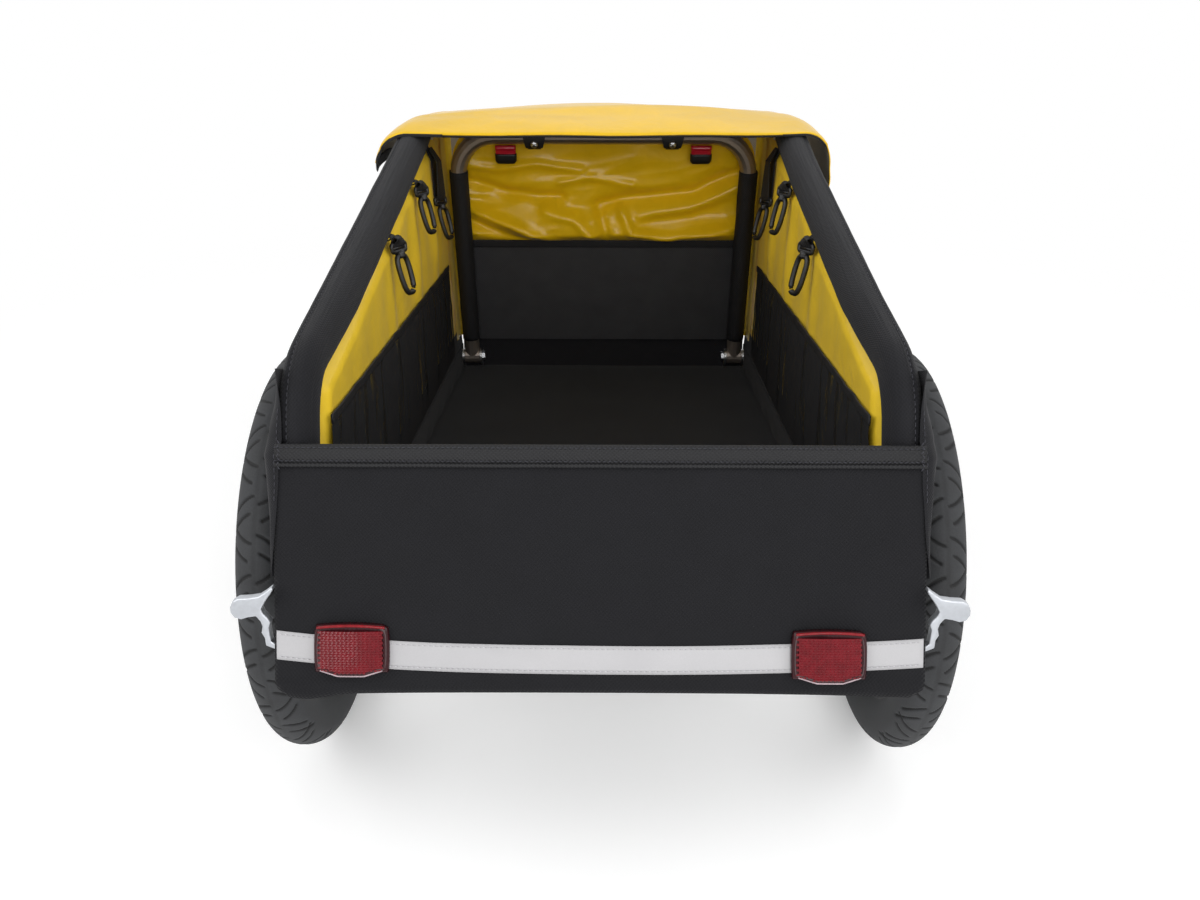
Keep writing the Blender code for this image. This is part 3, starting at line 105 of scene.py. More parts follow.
def linear(colour):
    """An sRGB hex colour as linear red, green and blue."""
    channels = [int(colour[i:i + 2], 16) / 255 for i in (0, 2, 4)]
    return tuple(c / 12.92 if c <= 0.04045 else ((c + 0.055) / 1.055) ** 2.4 for c in channels)


def size(name, description, default):
    return FloatProperty(name=name, description=description, default=default, unit="LENGTH", precision=5)


def colour(name, description, default):
    return FloatVectorProperty(name=name, description=description, default=linear(default), subtype="COLOR", size=3,
                               min=0, max=1)


class TrailerSizes(bpy.types.PropertyGroup):
    """Sizes of the trailer's soft pieces and patterns."""

    thread: size("Thread spacing", "Spacing of the woven threads as drawn", 0.0015)
    stitch: size("Stitch length", "Length of one stitch on bindings and tapes", 0.0042)
    wall_bulge: size("Rear wall bulge", "How far the rear wall stands out at its middle", 0.006)
    wrinkle: size("Front wall wrinkle", "Depth of the creases in the front wall", 0.0098)
    cover_fold: size("Cover fold", "Depth of the soft folds in the cover", 0.004)
    groove: size("Tread groove", "Depth of the grooves in the tyres", 0.0016)
    prism: size("Reflector prism", "Width of one prism cell", 0.0031)


class TrailerColours(bpy.types.PropertyGroup):
    """Colours of the trailer's materials, each under the name of its finish."""

    black_fabric: colour("Black fabric", "Woven polyester of the body", "151518")
    sleeve_fabric: colour("Sleeve", "Padded sleeves on the rails", "1b1b1e")
    yellow_fabric: colour("Yellow fabric", "Coated fabric of the cover and the front wall", "e8bb12")
    # Painted light: the side walls and front corners take a paler copy of the coated yellow, for the light that
    # falls on them
    yellow_side: colour("Side wall yellow", "Coated fabric of the side walls", "f6cf36")
    # Painted light: a lighter copy of the black fabric for the cloth below the front wall's binding, which lies
    # under the cover's shadow
    front_fabric_painted_light: colour("Front wall black", "Woven polyester below the front wall's binding", "38383a")
    cloth_back: colour("Cover back", "Uncoated back of the cover", "a59a86")
    mesh: colour("Pocket mesh", "Knitted mesh of the pockets", "1b1b1d")
    webbing: colour("Webbing", "Straps, tabs and bindings", "18181a")
    black_thread: colour("Dark thread", "Stitches in the black fabric", "34343a")
    pale_thread: colour("Pale thread", "Stitches in the reflective tape", "b4b3b6")
    tape: colour("Reflective tape", "Strip across the rear wall", "b5b4b6")
    reflector: colour("Reflector", "Prisms of the rear reflectors", "6a0e18")
    reflector_side: colour("Reflector side", "Sides of the rear reflectors", "300f13")
    # The reflectors' lip and lower edge colours are painted highlights
    reflector_lip: colour("Reflector lip", "Painted highlight along the upper edge of the rear reflectors", "7e1019")
    lower_edge_highlight: colour("Reflector edge", "Painted highlight along the cut lower edge of the rear reflectors", "a9979c")
    red_tab: colour("Release tabs", "Levers under the front hoop", "b8142c")
    nylon: colour("Black plastic", "Hooks and clamps", "0d0d0f")
    tyre: colour("Tyre", "Rubber of the tyres", "2e2f31")
    hoop: colour("Hoop", "Tube of the front hoop", "9a9087")
    aluminium: colour("Aluminium", "Tubes and hubs", "d4d4d3")
    # Painted shade: the rims are coloured dark for the shadow that falls on them under the body
    rims_painted_shade: colour("Rims", "Rims painted dark as shade", "2a2a2c")
    guard: colour("Wheel guards", "Extrusions behind the tyres", "bfc2c7")
    steel: colour("Steel", "Bolts, axles and the hitch", "b9bbbe")
    elastomer: colour("Elastomer", "Flexible link of the hitch", "202022")


# Materials

def add_node(tree, kind, inputs=(), to=None, **settings):
    """Adds one node with its links.

    inputs gives each socket a value, or the node or output that feeds it. to is the socket that the node feeds.
    """
    node = tree.nodes.new(kind)
    for name, value in settings.items():
        setattr(node, name, value)
    for key, value in dict(inputs).items():
        if isinstance(value, bpy.types.Node):
            value = value.outputs[0]
        if isinstance(value, bpy.types.NodeSocket):
            tree.links.new(value, node.inputs[key])
        else:
            node.inputs[key].default_value = value
    if to is not None:
        tree.links.new(node.outputs[0], to)
    return node


def begin_material(name, base, roughness, metallic=0.0, **values):
    """A material with its tree and shader. values sets further sockets of the shader by name."""
    made = bpy.data.materials.new(name)
    made.use_nodes = True
    tree = made.node_tree
    shader = tree.nodes["Principled BSDF"]
    shader.inputs["Base Color"].default_value = (*base, 1)
    shader.inputs["Roughness"].default_value = roughness
    shader.inputs["Metallic"].default_value = metallic
    for key, value in values.items():
        shader.inputs[key.replace("_", " ")].default_value = value
    return made, tree, shader


def tint(tree, shader, base, factor, dark, light):
    """Base colour between dark and light times the given colour, as factor goes from 0 to 1."""
    low = (*[c * dark for c in base], 1)
    high = (*[min(1, c * light) for c in base], 1)
    mix = add_node(tree, "ShaderNodeMix", {0: factor, 6: low, 7: high}, data_type="RGBA")
    tree.links.new(mix.outputs[2], shader.inputs["Base Color"])


def weave_height(tree, spacing):
    """The height of a plain weave from the cloth's own coordinates in metres: threads cross over and under."""
    uv = add_node(tree, "ShaderNodeUVMap", uv_map="cloth")
    turns = add_node(tree, "ShaderNodeVectorMath", {0: uv, 1: (math.pi / spacing,) * 3}, operation="MULTIPLY")
    waves = add_node(tree, "ShaderNodeVectorMath", {0: turns}, operation="SINE")
    parts = add_node(tree, "ShaderNodeSeparateXYZ", {0: waves})
    crossing = add_node(tree, "ShaderNodeMath", {0: parts, 1: parts.outputs[1]}, operation="MULTIPLY")
    return add_node(tree, "ShaderNodeMath", {0: crossing, 1: 0.5, 2: 0.5}, operation="MULTIPLY_ADD")


def woven_polyester(name, base, roughness=0.88):
    """Plain woven polyester with a coated back: dull, with a thread grain and a faint sheen at its edges."""
    made, tree, shader = begin_material(name, base, roughness, Specular_IOR_Level=0.22, Sheen_Weight=0.06,
                                        Sheen_Roughness=0.5)
    height = weave_height(tree, bpy.context.scene.trailer_sizes.thread)
    place = add_node(tree, "ShaderNodeTexCoord")
    # Handling leaves patches of 30 mm that are a little paler
    patches = add_node(tree, "ShaderNodeTexNoise", {"Vector": place.outputs["Object"], "Scale": 33, "Detail": 5})
    blend = add_node(tree, "ShaderNodeMath", {0: patches, 1: height}, operation="ADD")
    half = add_node(tree, "ShaderNodeMath", {0: blend, 1: 0.5}, operation="MULTIPLY")
    tint(tree, shader, base, half, 0.62, 1.38)
    add_node(tree, "ShaderNodeBump", {"Height": height, "Distance": 0.0004, "Strength": 0.8},
             to=shader.inputs["Normal"])
    return made


def coated_fabric(name, base):
    """Polyester with a smooth coating, calendered: satin gloss, and small creases that catch the light."""
    made, tree, shader = begin_material(name, base, 0.42, Specular_IOR_Level=0.2, Coat_Weight=0.3,
                                        Coat_Roughness=0.16, Sheen_Weight=0.12, Sheen_Roughness=0.25)
    place = add_node(tree, "ShaderNodeTexCoord")
    # Creases about 25 mm apart and a fine grain of 2 mm
    crease = add_node(tree, "ShaderNodeTexNoise", {"Vector": place.outputs["Object"], "Scale": 40, "Detail": 3,
                                                   "Roughness": 0.55, "Distortion": 0.6})
    grain = weave_height(tree, 0.0016)
    both = add_node(tree, "ShaderNodeMath", {0: grain, 1: 0.05, 2: crease}, operation="MULTIPLY_ADD")
    add_node(tree, "ShaderNodeBump", {"Height": both, "Distance": 0.0035, "Strength": 0.35},
             to=shader.inputs["Normal"])
    # The base colour follows the creases: painted shade in their hollows and a painted highlight on their ridges
    tint(tree, shader, base, crease, 0.88, 1.08)
    add_node(tree, "ShaderNodeMapRange", {"Value": crease, "To Min": 0.34, "To Max": 0.52},
             to=shader.inputs["Roughness"])
    return made


def knitted_mesh(name, base):
    """Warp-knitted polyester mesh: small holes, open where it is stretched and closed in the gathers between.

    The real 1.5 mm holes are drawn at 2.6 mm, so that they still show at this picture's size.
    """
    made, tree, shader = begin_material(name, base, 0.8, Specular_IOR_Level=0.2)
    height = weave_height(tree, 0.0026)
    ridge = add_node(tree, "ShaderNodeMath", {0: height, 1: 0.5}, operation="SUBTRACT")
    size_of = add_node(tree, "ShaderNodeMath", {0: ridge}, operation="ABSOLUTE")
    uv = add_node(tree, "ShaderNodeUVMap", uv_map="cloth")
    # Gathers run upright, about 25 mm apart
    upright = add_node(tree, "ShaderNodeMapping", {"Vector": uv, "Scale": (42, 6, 1)})
    gathers = add_node(tree, "ShaderNodeTexNoise", {"Vector": upright, "Scale": 1, "Detail": 2})
    open_at = add_node(tree, "ShaderNodeMapRange", {"Value": gathers, "From Min": 0.50, "From Max": 0.62,
                                                    "To Min": 0.60, "To Max": 0.26})
    add_node(tree, "ShaderNodeMath", {0: size_of, 1: open_at}, operation="LESS_THAN", to=shader.inputs["Alpha"])
    return made


def webbing_material(name, base):
    """Woven polypropylene webbing: ribs along its length, with a soft shine."""
    made, tree, shader = begin_material(name, base, 0.62, Specular_IOR_Level=0.3)
    height = weave_height(tree, 0.0016)
    tint(tree, shader, base, height, 0.7, 1.5)
    add_node(tree, "ShaderNodeBump", {"Height": height, "Distance": 0.0005, "Strength": 0.9},
             to=shader.inputs["Normal"])
    return made


def tyre_rubber(name, base):
    """Vulcanised rubber from a steel mould: dull black-grey, with painted shade in its grooves."""
    made, tree, shader = begin_material(name, base, 0.7, IOR=1.52, Specular_IOR_Level=0.4)
    place = add_node(tree, "ShaderNodeTexCoord")
    grit = add_node(tree, "ShaderNodeTexNoise", {"Vector": place.outputs["Object"], "Scale": 700, "Detail": 3})
    smear = add_node(tree, "ShaderNodeTexNoise", {"Vector": place.outputs["Object"], "Scale": 45, "Detail": 6})
    both = add_node(tree, "ShaderNodeMath", {0: grit, 1: 0.35, 2: smear}, operation="MULTIPLY_ADD")
    # The mesh keeps how deep each point lies in a groove: there the base colour is painted dark as shade, and no
    # scuffing reaches it
    cut = add_node(tree, "ShaderNodeAttribute", attribute_name="cut")
    shade = add_node(tree, "ShaderNodeMath", {0: cut.outputs["Fac"], 1: -1.1, 2: both},
                     operation="MULTIPLY_ADD", use_clamp=True)
    tint(tree, shader, base, shade, 0.12, 1.5)
    add_node(tree, "ShaderNodeBump", {"Height": grit, "Distance": 0.0003, "Strength": 0.5},
             to=shader.inputs["Normal"])
    add_node(tree, "ShaderNodeMapRange", {"Value": smear, "To Min": 0.62, "To Max": 0.88},
             to=shader.inputs["Roughness"])
    return made


def satin_metal(name, base, roughness, streak=(1, 1, 1), metallic=1.0):
    """Metal with a satin surface, whose fine marks spread the highlight. streak stretches the marks."""
    made, tree, shader = begin_material(name, base, roughness, metallic)
    place = add_node(tree, "ShaderNodeTexCoord")
    stretched = add_node(tree, "ShaderNodeMapping", {"Vector": place.outputs["Object"], "Scale": streak})
    marks = add_node(tree, "ShaderNodeTexNoise", {"Vector": stretched, "Scale": 420, "Detail": 4})
    spread = {"Value": marks, "To Min": roughness * 0.75, "To Max": roughness * 1.3}
    add_node(tree, "ShaderNodeMapRange", spread, to=shader.inputs["Roughness"])
    tint(tree, shader, base, marks, 0.88, 1.1)
    add_node(tree, "ShaderNodeBump", {"Height": marks, "Distance": 0.0001, "Strength": 0.3},
             to=shader.inputs["Normal"])
    return made


def moulded_plastic(name, base, roughness, **values):
    """Injection-moulded plastic with the fine spark grain of its mould."""
    made, tree, shader = begin_material(name, base, roughness, **values)
    place = add_node(tree, "ShaderNodeTexCoord")
    spark = add_node(tree, "ShaderNodeTexNoise", {"Vector": place.outputs["Object"], "Scale": 900, "Detail": 2})
    add_node(tree, "ShaderNodeBump", {"Height": spark, "Distance": 0.00025, "Strength": 0.4},
             to=shader.inputs["Normal"])
    tint(tree, shader, base, spark, 0.85, 1.15)
    return made


def reflective_tape(name, base):
    """Tape of glass beads in a clear binder: pale grey, with a fine grain and a soft shine."""
    made, tree, shader = begin_material(name, base, 0.42)
    place = add_node(tree, "ShaderNodeTexCoord")
    beads = add_node(tree, "ShaderNodeTexNoise", {"Vector": place.outputs["Object"], "Scale": 1200, "Detail": 2})
    smear = add_node(tree, "ShaderNodeTexNoise", {"Vector": place.outputs["Object"], "Scale": 30, "Detail": 4})
    both = add_node(tree, "ShaderNodeMath", {0: beads, 1: smear}, operation="MULTIPLY")
    tint(tree, shader, base, both, 0.86, 1.1)
    add_node(tree, "ShaderNodeBump", {"Height": beads, "Distance": 0.0001, "Strength": 0.3},
             to=shader.inputs["Normal"])
    return made


def red_acrylic(name, base):
    """Moulded clear red acrylic over prisms: deep colour, sharp gloss."""
    made, tree, shader = begin_material(name, base, 0.22, IOR=1.49, Specular_IOR_Level=0.22, Coat_Weight=0.12,
                                        Coat_Roughness=0.05)
    place = add_node(tree, "ShaderNodeTexCoord")
    smear = add_node(tree, "ShaderNodeTexNoise", {"Vector": place.outputs["Object"], "Scale": 160, "Detail": 3})
    tint(tree, shader, base, smear, 0.6, 1.45)
    return made


# Drawing and extrusion stretch a tube's marks along it
DRAWN = (1, 0.05, 1)

# Each finish: its material's name, its slot in the record, what makes it, and with which settings
FINISHES = {
    "black_fabric": ("polyester_woven_black", "black_fabric", woven_polyester, {}),
    "sleeve_fabric": ("polyester_woven_padded_sleeve", "black_fabric", woven_polyester, {"roughness": 0.92}),
    "yellow_fabric": ("polyester_coated_calendered_yellow", "yellow_coated_fabric", coated_fabric, {}),
    "yellow_side": ("polyester_coated_side_yellow", "yellow_coated_fabric", coated_fabric, {}),
    "front_fabric_painted_light": ("polyester_woven_dark_grey", "black_fabric", woven_polyester, {"roughness": 0.9}),
    "cloth_back": ("polyester_uncoated_back", "yellow_coated_fabric", woven_polyester, {"roughness": 0.8}),
    "mesh": ("polyester_knitted_mesh", "black_mesh", knitted_mesh, {}),
    "webbing": ("polypropylene_webbing_woven", "black_fabric", webbing_material, {}),
    "black_thread": ("polyester_thread_dark", "black_fabric", webbing_material, {}),
    "pale_thread": ("polyester_thread_grey", "reflective_tape", webbing_material, {}),
    "tape": ("tape_glass_bead_reflective", "reflective_tape", reflective_tape, {}),
    "reflector": ("acrylic_moulded_red", "red_reflector", red_acrylic, {}),
    "reflector_side": ("acrylic_moulded_dark_red", "red_reflector", red_acrylic, {}),
    "reflector_lip": ("acrylic_moulded_bright_red", "red_reflector", red_acrylic, {}),
    "lower_edge_highlight": ("acrylic_polished_edge", "red_reflector", red_acrylic, {}),
    "red_tab": ("abs_moulded_red", "red_plastic", moulded_plastic, {"roughness": 0.3, "Coat_Weight": 0.4}),
    "nylon": ("nylon_moulded_black", "black_plastic", moulded_plastic, {"roughness": 0.46}),
    "tyre": ("rubber_vulcanised", "tyre_rubber", tyre_rubber, {}),
    "hoop": ("aluminium_anodised_grey", "hoop_aluminium", satin_metal, {"roughness": 0.42, "metallic": 0.85}),
    "aluminium": ("aluminium_drawn_satin", "frame_aluminium", satin_metal, {"roughness": 0.34, "streak": DRAWN}),
    "rims_painted_shade": ("aluminium_anodised_black", "frame_aluminium", satin_metal,
                       {"roughness": 0.45, "metallic": 0.8}),
    "guard": ("aluminium_extruded_satin", "frame_aluminium", satin_metal, {"roughness": 0.45, "streak": DRAWN}),
    "steel": ("steel_zinc_plated", "zinc_steel", satin_metal, {"roughness": 0.3}),
    "elastomer": ("elastomer_moulded", "elastomer", moulded_plastic, {"roughness": 0.65}),
}


def finish_for(use):
    """The material of a use, made the first time that it is asked for."""
    name, _, maker, settings = FINISHES[use]
    base = getattr(bpy.context.scene.trailer_colours, use)
    return bpy.data.materials.get(name) or maker(name, base, **settings)


# Shapes

def add_piece(name, made, use, body, *stands_for):
    """An object that rides on a body and may stand for nodes of the frame.

    made is its points in the trailer's frame, its faces and, where it is cloth, each point's place on the cloth.
    """
    points, faces, *flat = made
    mesh = bpy.data.meshes.new(name)
    mesh.from_pydata([tuple(TRAILER @ Vector(p)) for p in points], [], faces)
    layer = mesh.uv_layers.new(name="cloth")
    flat = flat[0] if flat else [(p[0] + p[1] * 0.7, p[2] + p[1] * 0.7) for p in points]
    for loop in mesh.loops:
        layer.data[loop.index].uv = flat[loop.vertex_index]
    mesh.materials.append(finish_for(use))
    mesh.shade_smooth()
    mesh.validate()
    obj = bpy.data.objects.new(name, mesh)
    bpy.context.collection.objects.link(obj)
    bpy.context.view_layer.update()
    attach(obj, body)
    if stands_for:
        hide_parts(*stands_for)
    return obj


def modify(obj, kind, **settings):
    """Replaces the mesh by what a modifier makes of it."""
    modifier = obj.modifiers.new(kind.lower(), kind)
    for name, value in settings.items():
        setattr(modifier, name, value)
    made = bpy.data.meshes.new_from_object(obj.evaluated_get(bpy.context.evaluated_depsgraph_get()))
    obj.modifiers.clear()
    obj.data = made


def clamp(value):
    return max(0.0, min(1.0, value))


def ease(share):
    """A share from 0 to 1 with a soft start and a soft end."""
    return share * share * (3 - 2 * share)


def bulged(value, power):
    """A sine or cosine that is pushed out towards a square for powers below 1."""
    return math.copysign(abs(value) ** power, value)


def between(stations, share, softness=0.0):
    """The values at a share of the way along a row of stations."""
    want = share * (len(stations) - 1)
    k = min(len(stations) - 2, int(want))
    t = ease(want - k) * softness + (want - k) * (1 - softness)
    return [a + (b - a) * t for a, b in zip(stations[k], stations[k + 1])]


def run_lengths(line):
    """How far along a line each of its points lies."""
    run = [0]
    for p, q in zip(line, line[1:]):
        run.append(run[-1] + math.dist(p, q))
    return run


def quads(rings, count, closed=False, wrap=False):
    """Faces between rings of points. closed joins each ring's ends, and wrap joins the last ring to the first."""
    faces = []
    for j in range(rings if wrap else rings - 1):
        after = (j + 1) % rings * count
        for i in range(count if closed else count - 1):
            k = (i + 1) % count
            faces.append((j * count + i, j * count + k, after + k, after + i))
    return faces


def caps(rings, count):
    """The two faces that close the first and the last ring."""
    return [tuple(range(count))[::-1], tuple(range((rings - 1) * count, rings * count))]


def grid(point, columns, rows, size_of, side=1):
    """Points, faces and flat places of a cloth grid. point(u, v) gives a place for u and v from 0 to 1."""
    places = [(i / columns, j / rows) for j in range(rows + 1) for i in range(columns + 1)]
    flat = [(u * size_of[0], v * size_of[1]) for u, v in places]
    return [point(u, v) for u, v in places], mirror(quads(rows + 1, columns + 1), side), flat


def mirror(faces, side):
    """Turns the faces round for the side where the points lie the other way."""
    return faces if side > 0 else [face[::-1] for face in faces]


def bent_path(corners, radii, step=math.radians(7)):
    """A line through corners with an arc of the given radius at each inner one."""
    points = [corners[0]]
    for before, corner, after, radius in zip(corners, corners[1:], corners[2:], radii):
        back, ahead = (before - corner).normalized(), (after - corner).normalized()
        half = back.angle(ahead) / 2
        centre = corner + (back + ahead).normalized() * (radius / math.sin(half))
        start = corner + back * (radius / math.tan(half)) - centre
        end = corner + ahead * (radius / math.tan(half)) - centre
        turn = start.angle(end)
        axis = start.cross(end).normalized()
        count = max(2, round(turn / step))
        points += [centre + Matrix.Rotation(turn * i / count, 3, axis) @ start for i in range(count + 1)]
    return points + [corners[-1]]


def spaced(path, gap):
    """The same line with points no further apart than gap."""
    points = [path[0]]
    for start, end in zip(path, path[1:]):
        count = max(1, math.ceil((end - start).length / gap))
        points += [start.lerp(end, i / count) for i in range(1, count + 1)]
    return points


def sweep(path, section, normal, closed=False, shape=None):
    """A section of (a, b) pairs carried along a line. a points along normal and b to the line's left.

    shape(distance, a, b, index) gives the pair that takes a point's place on the ring at that distance.
    """
    points, flat = [], []
    distance = 0
    around = run_lengths(section)
    for i, place in enumerate(path):
        if closed:
            tangent = (path[(i + 1) % len(path)] - path[i - 1]).normalized()
        else:
            before = (place - path[i - 1]).normalized() if i else (path[1] - place).normalized()
            after = (path[i + 1] - place).normalized() if i + 1 < len(path) else before
            tangent = (before + after).normalized()
        aside = tangent.cross(normal).normalized()
        if i:
            distance += (place - path[i - 1]).length
        for k, (a, b) in enumerate(section):
            if shape:
                a, b = shape(distance, a, b, k)
            points.append(place + normal * a + aside * b)
            flat.append((around[k], distance))
    faces = quads(len(path), len(section), True, closed)
    if not closed:
        faces += caps(len(path), len(section))
    return points, faces, flat


def ring_section(radius, sides=24, squash=1.0):
    """A round or oval section to sweep."""
    return [(radius * math.cos(2 * math.pi * i / sides), radius * squash * math.sin(2 * math.pi * i / sides))
            for i in range(sides)]


def strap_section(width, thickness):
    """The rounded section of a flat strap: its width along the line's normal."""
    half, edge = width / 2, thickness / 2
    end = [(half - edge + edge * math.cos(t), edge * math.sin(t)) for t in (-1.2, -0.6, 0, 0.6, 1.2)]
    middle = [half * s for s in (0.6, 0.2, -0.2, -0.6)]
    return (end + [(m, edge) for m in middle] + [(-a, -b) for a, b in end] + [(-m, -edge) for m in middle])


def merge(*meshes):
    """Several meshes as one list of points, faces and flat places."""
    points, faces, flat = [], [], []
    for some_points, some_faces, some_flat in meshes:
        base = len(points)
        points += some_points
        faces += [tuple(i + base for i in face) for face in some_faces]
        flat += some_flat
    return points, faces, flat


def stitch_row(path, out, length, radius=0.00042, share=0.62):
    """Stitches along a line: short threads that dive into the cloth at both ends. out points out of the cloth."""
    path = spaced(path, length / 4)
    meshes = []
    run = run_lengths(path)
    total = run[-1]
    count = max(1, round(total / length))
    place = 0
    for i in range(count):
        start, end = total * i / count, total * (i + share) / count
        marks = []
        for t in (0, 0.18, 0.5, 0.82, 1):
            want = start + (end - start) * t
            while place > 0 and run[place] > want:
                place -= 1
            while place + 2 < len(run) and run[place + 1] < want:
                place += 1
            span = run[place + 1] - run[place]
            point = path[place].lerp(path[place + 1], (want - run[place]) / span if span else 0)
            lift = 1.0 if 0.1 < t < 0.9 else -0.6
            marks.append(point + out * (radius * lift))
        side = (marks[-1] - marks[0]).normalized().cross(out).normalized()
        meshes.append(sweep(marks, ring_section(radius, 6), side))
    return merge(*meshes)


def fold_noise(point, scale, seed=0.0):
    """Smooth noise at a place. Each seed gives its own."""
    return noise.noise(Vector(point) * scale + Vector((seed, seed * 1.7, -seed)))


# Lines that several pieces share

def rear_point(x, up, out):
    """A point on the rear wall: x across, up along its slope from the bottom edge, out towards the rear."""
    sine, cosine = math.sin(REAR_LEAN), math.cos(REAR_LEAN)
    return Vector((x, -0.277 + up * sine - out * cosine, 0.011 + up * cosine + out * sine))


REAR_UP = (rear_point(0, 1, 0) - rear_point(0, 0, 0)).normalized()
REAR_OUT = rear_point(0, 0, 1) - rear_point(0, 0, 0)


def post_y(z):
    """Where a rear post's centre line is at a height."""
    foot = rear_point(0, 0, -POST_SETBACK)
    return foot.y + (z - foot.z) * math.tan(REAR_LEAN)


def rail_z(y):
    """How high a rail's centre line is at a place along the trailer."""
    return RAIL_HEIGHT + RAIL_SLOPE * y


def leg_y(z):
    """Where a side frame's front leg is at a height, close behind the hoop."""
    foot = HOOP_FOOT - HOOP_AHEAD * (0.0125 + HOOP_RADIUS + 0.007)
    return foot.y + (z - foot.z) * HOOP_ALONG.y / HOOP_ALONG.z


def corner_on_rail(line):
    """Where the rail's centre line crosses a post or a leg."""
    y = 0.0
    for _ in range(40):
        y = line(rail_z(y))
    return Vector((0, y, rail_z(y)))


def hoop_point(x, up, forward):
    """A point at the hoop: x across, up along its legs from their foot, forward of its plane."""
    return HOOP_FOOT + Vector((x, 0, 0)) + HOOP_ALONG * up + HOOP_AHEAD * forward


REAR_CORNER = corner_on_rail(post_y)
FRONT_CORNER = corner_on_rail(leg_y)


def front_bend_start():
    """Where the rail's straight part ends and its bend down to the hinge begins."""
    back = (REAR_CORNER - FRONT_CORNER).normalized()
    ahead = (Vector((0, leg_y(HINGE_HEIGHT), HINGE_HEIGHT)) - FRONT_CORNER).normalized()
    return FRONT_CORNER + back * (FRONT_BEND / math.tan(back.angle(ahead) / 2))


def sleeve_path(side):
    """The sleeve's middle line: up the post, round the rear corner and along the rail to the front bend."""
    x = Vector((side * SIDE_PLANE, 0, 0))
    end_y = front_bend_start().y - 0.001
    corners = [Vector((0, post_y(SLEEVE_BOTTOM), SLEEVE_BOTTOM)), REAR_CORNER, Vector((0, end_y, rail_z(end_y)))]
    return spaced([p + x for p in bent_path(corners, (REAR_BEND,))], 0.008)


# Wheels

class TRAILER_OT_wheels(bpy.types.Operator):
    """Adds the tyres with their tread and dresses the rims, hubs and axles."""

    bl_idname = "trailer.wheels"
    bl_label = "Wheels"

    def execute(self, context):
        for word, side in SIDES.items():
            make_tyre(word, side, context.scene.trailer_sizes.groove)
        # The rims' dark finish is painted shade for the shadow under the body
        dress("rims_painted_shade", "rim_left", "rim_right")
        dress("aluminium", "hub_left", "hub_right")
        dress("steel", "wheel_axle_left", "wheel_axle_right", "axle_button_left", "axle_button_right")
        return {"FINISHED"}


# A half tread starts at TREAD_INNER from the middle and is TREAD_WIDTH wide. The pattern repeats after TREAD_PITCH
TREAD_PITCH = 2 * math.pi / 19
TREAD_INNER = 0.0015
TREAD_WIDTH = 0.0247
# Each groove: its place in the pitch, which way it curves, and where it starts and stops on the half tread
GROOVES = ((0.05, 1, 0.0, 0.86), (0.27, 1, 0.10, 1.0), (0.66, -1, 0.0, 0.92), (0.90, -1, 0.12, 0.8))


def tread(turn, across):
    """How deep the tread is cut, 0 to 1, at a turn of the wheel and a place across it in metres."""
    reach = abs(across)
    depth = 0.7 * max(0.0, 1 - abs(reach - 0.0002) / 0.0008)
    share = (reach - TREAD_INNER) / TREAD_WIDTH
    if not 0 < share < 1:
        return depth
    phase = turn / TREAD_PITCH + (0.5 if across < 0 else 0.0)
    curve = 0.30 * share ** 1.5
    slope = math.hypot(1.0, 0.45 * math.sqrt(share) * TREAD_PITCH * TYRE_RADIUS / TREAD_WIDTH)
    for place, hand, start, stop in GROOVES:
        if not start <= share <= stop:
            continue
        away = abs((phase - place - hand * curve + 0.5) % 1.0 - 0.5) * TREAD_PITCH * TYRE_RADIUS / slope
        ends = min(1.0, (share - start) / 0.08 + 0.3, (stop - share) / 0.08 + 0.2)
        depth = max(depth, ends * clamp(1.7 - away / 0.0009))
    return depth


def make_tyre(word, side, depth):
    """A tyre of elliptic section with its grooves cut into the mesh. Below its seat it tapers towards the rim."""
    around, across = ((1080, 58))
    middle = (TYRE_RADIUS + TYRE_SEAT) / 2
    rise = TYRE_RADIUS - middle
    points, flat, cuts = [], [], []
    for i in range(around):
        turn = 2 * math.pi * i / around
        for j in range(across):
            t = math.radians(-52 + 284 * j / (across - 1))
            normal = Vector((math.cos(t) / TYRE_HALF_WIDTH, math.sin(t) / rise)).normalized()
            along = (t - math.pi / 2) * (TYRE_HALF_WIDTH + rise) / 2
            cut = tread(turn, -along * side)
            cuts.append(cut)
            below = 1.85 if t < 0 or t > math.pi else 1.0
            a = TYRE_HALF_WIDTH * math.cos(t) - normal.x * cut * depth
            radius = middle + rise * below * math.sin(t) - normal.y * cut * depth
            points.append(Vector((side * (WHEEL_X + a), radius * math.cos(turn), radius * math.sin(turn))))
            flat.append((along, turn * TYRE_RADIUS))
    made = points, mirror(quads(around, across, True, True), -side), flat
    tyre = add_piece(f"tyre_tread_{word}", made, "tyre", f"{word}_wheel", f"tyre_{word}")
    layer = tyre.data.attributes.new("cut", "FLOAT", "POINT")
    layer.data.foreach_set("value", cuts)


def dress(use, *nodes):
    """Gives nodes of the frame a finish."""
    for name in nodes:
        node = frame["nodes"][name]
        if not node.data.materials:
            node.data.materials.append(None)
        for slot in node.material_slots:
            slot.material = finish_for(use)


# Rear wall

class TRAILER_OT_rear_wall(bpy.types.Operator):
    """Adds the rear wall with its binding, stitching, reflective tape and reflectors."""

    bl_idname = "trailer.rear_wall"
    bl_label = "Rear wall"

    def execute(self, context):
        sizes = context.scene.trailer_sizes
        for piece in make_rear_wall() + make_binding(sizes.stitch) + make_strip(sizes.stitch):
            crumple(piece)
        for word, x in (("left", -0.187), ("right", 0.173)):
            make_reflector(word, x, sizes.prism)
        return {"FINISHED"}


def crumple(piece):
    """Gives the piece a mesh of its own."""
    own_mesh(piece)


def wall_half(up):
    """Half of the rear wall's width at a height, with its round lower corners."""
    if up >= PANEL_CORNER:
        return PANEL_HALF_WIDTH
    rest = PANEL_CORNER - up
    return PANEL_HALF_WIDTH - PANEL_CORNER + math.sqrt(max(0.0, PANEL_CORNER ** 2 - rest ** 2))


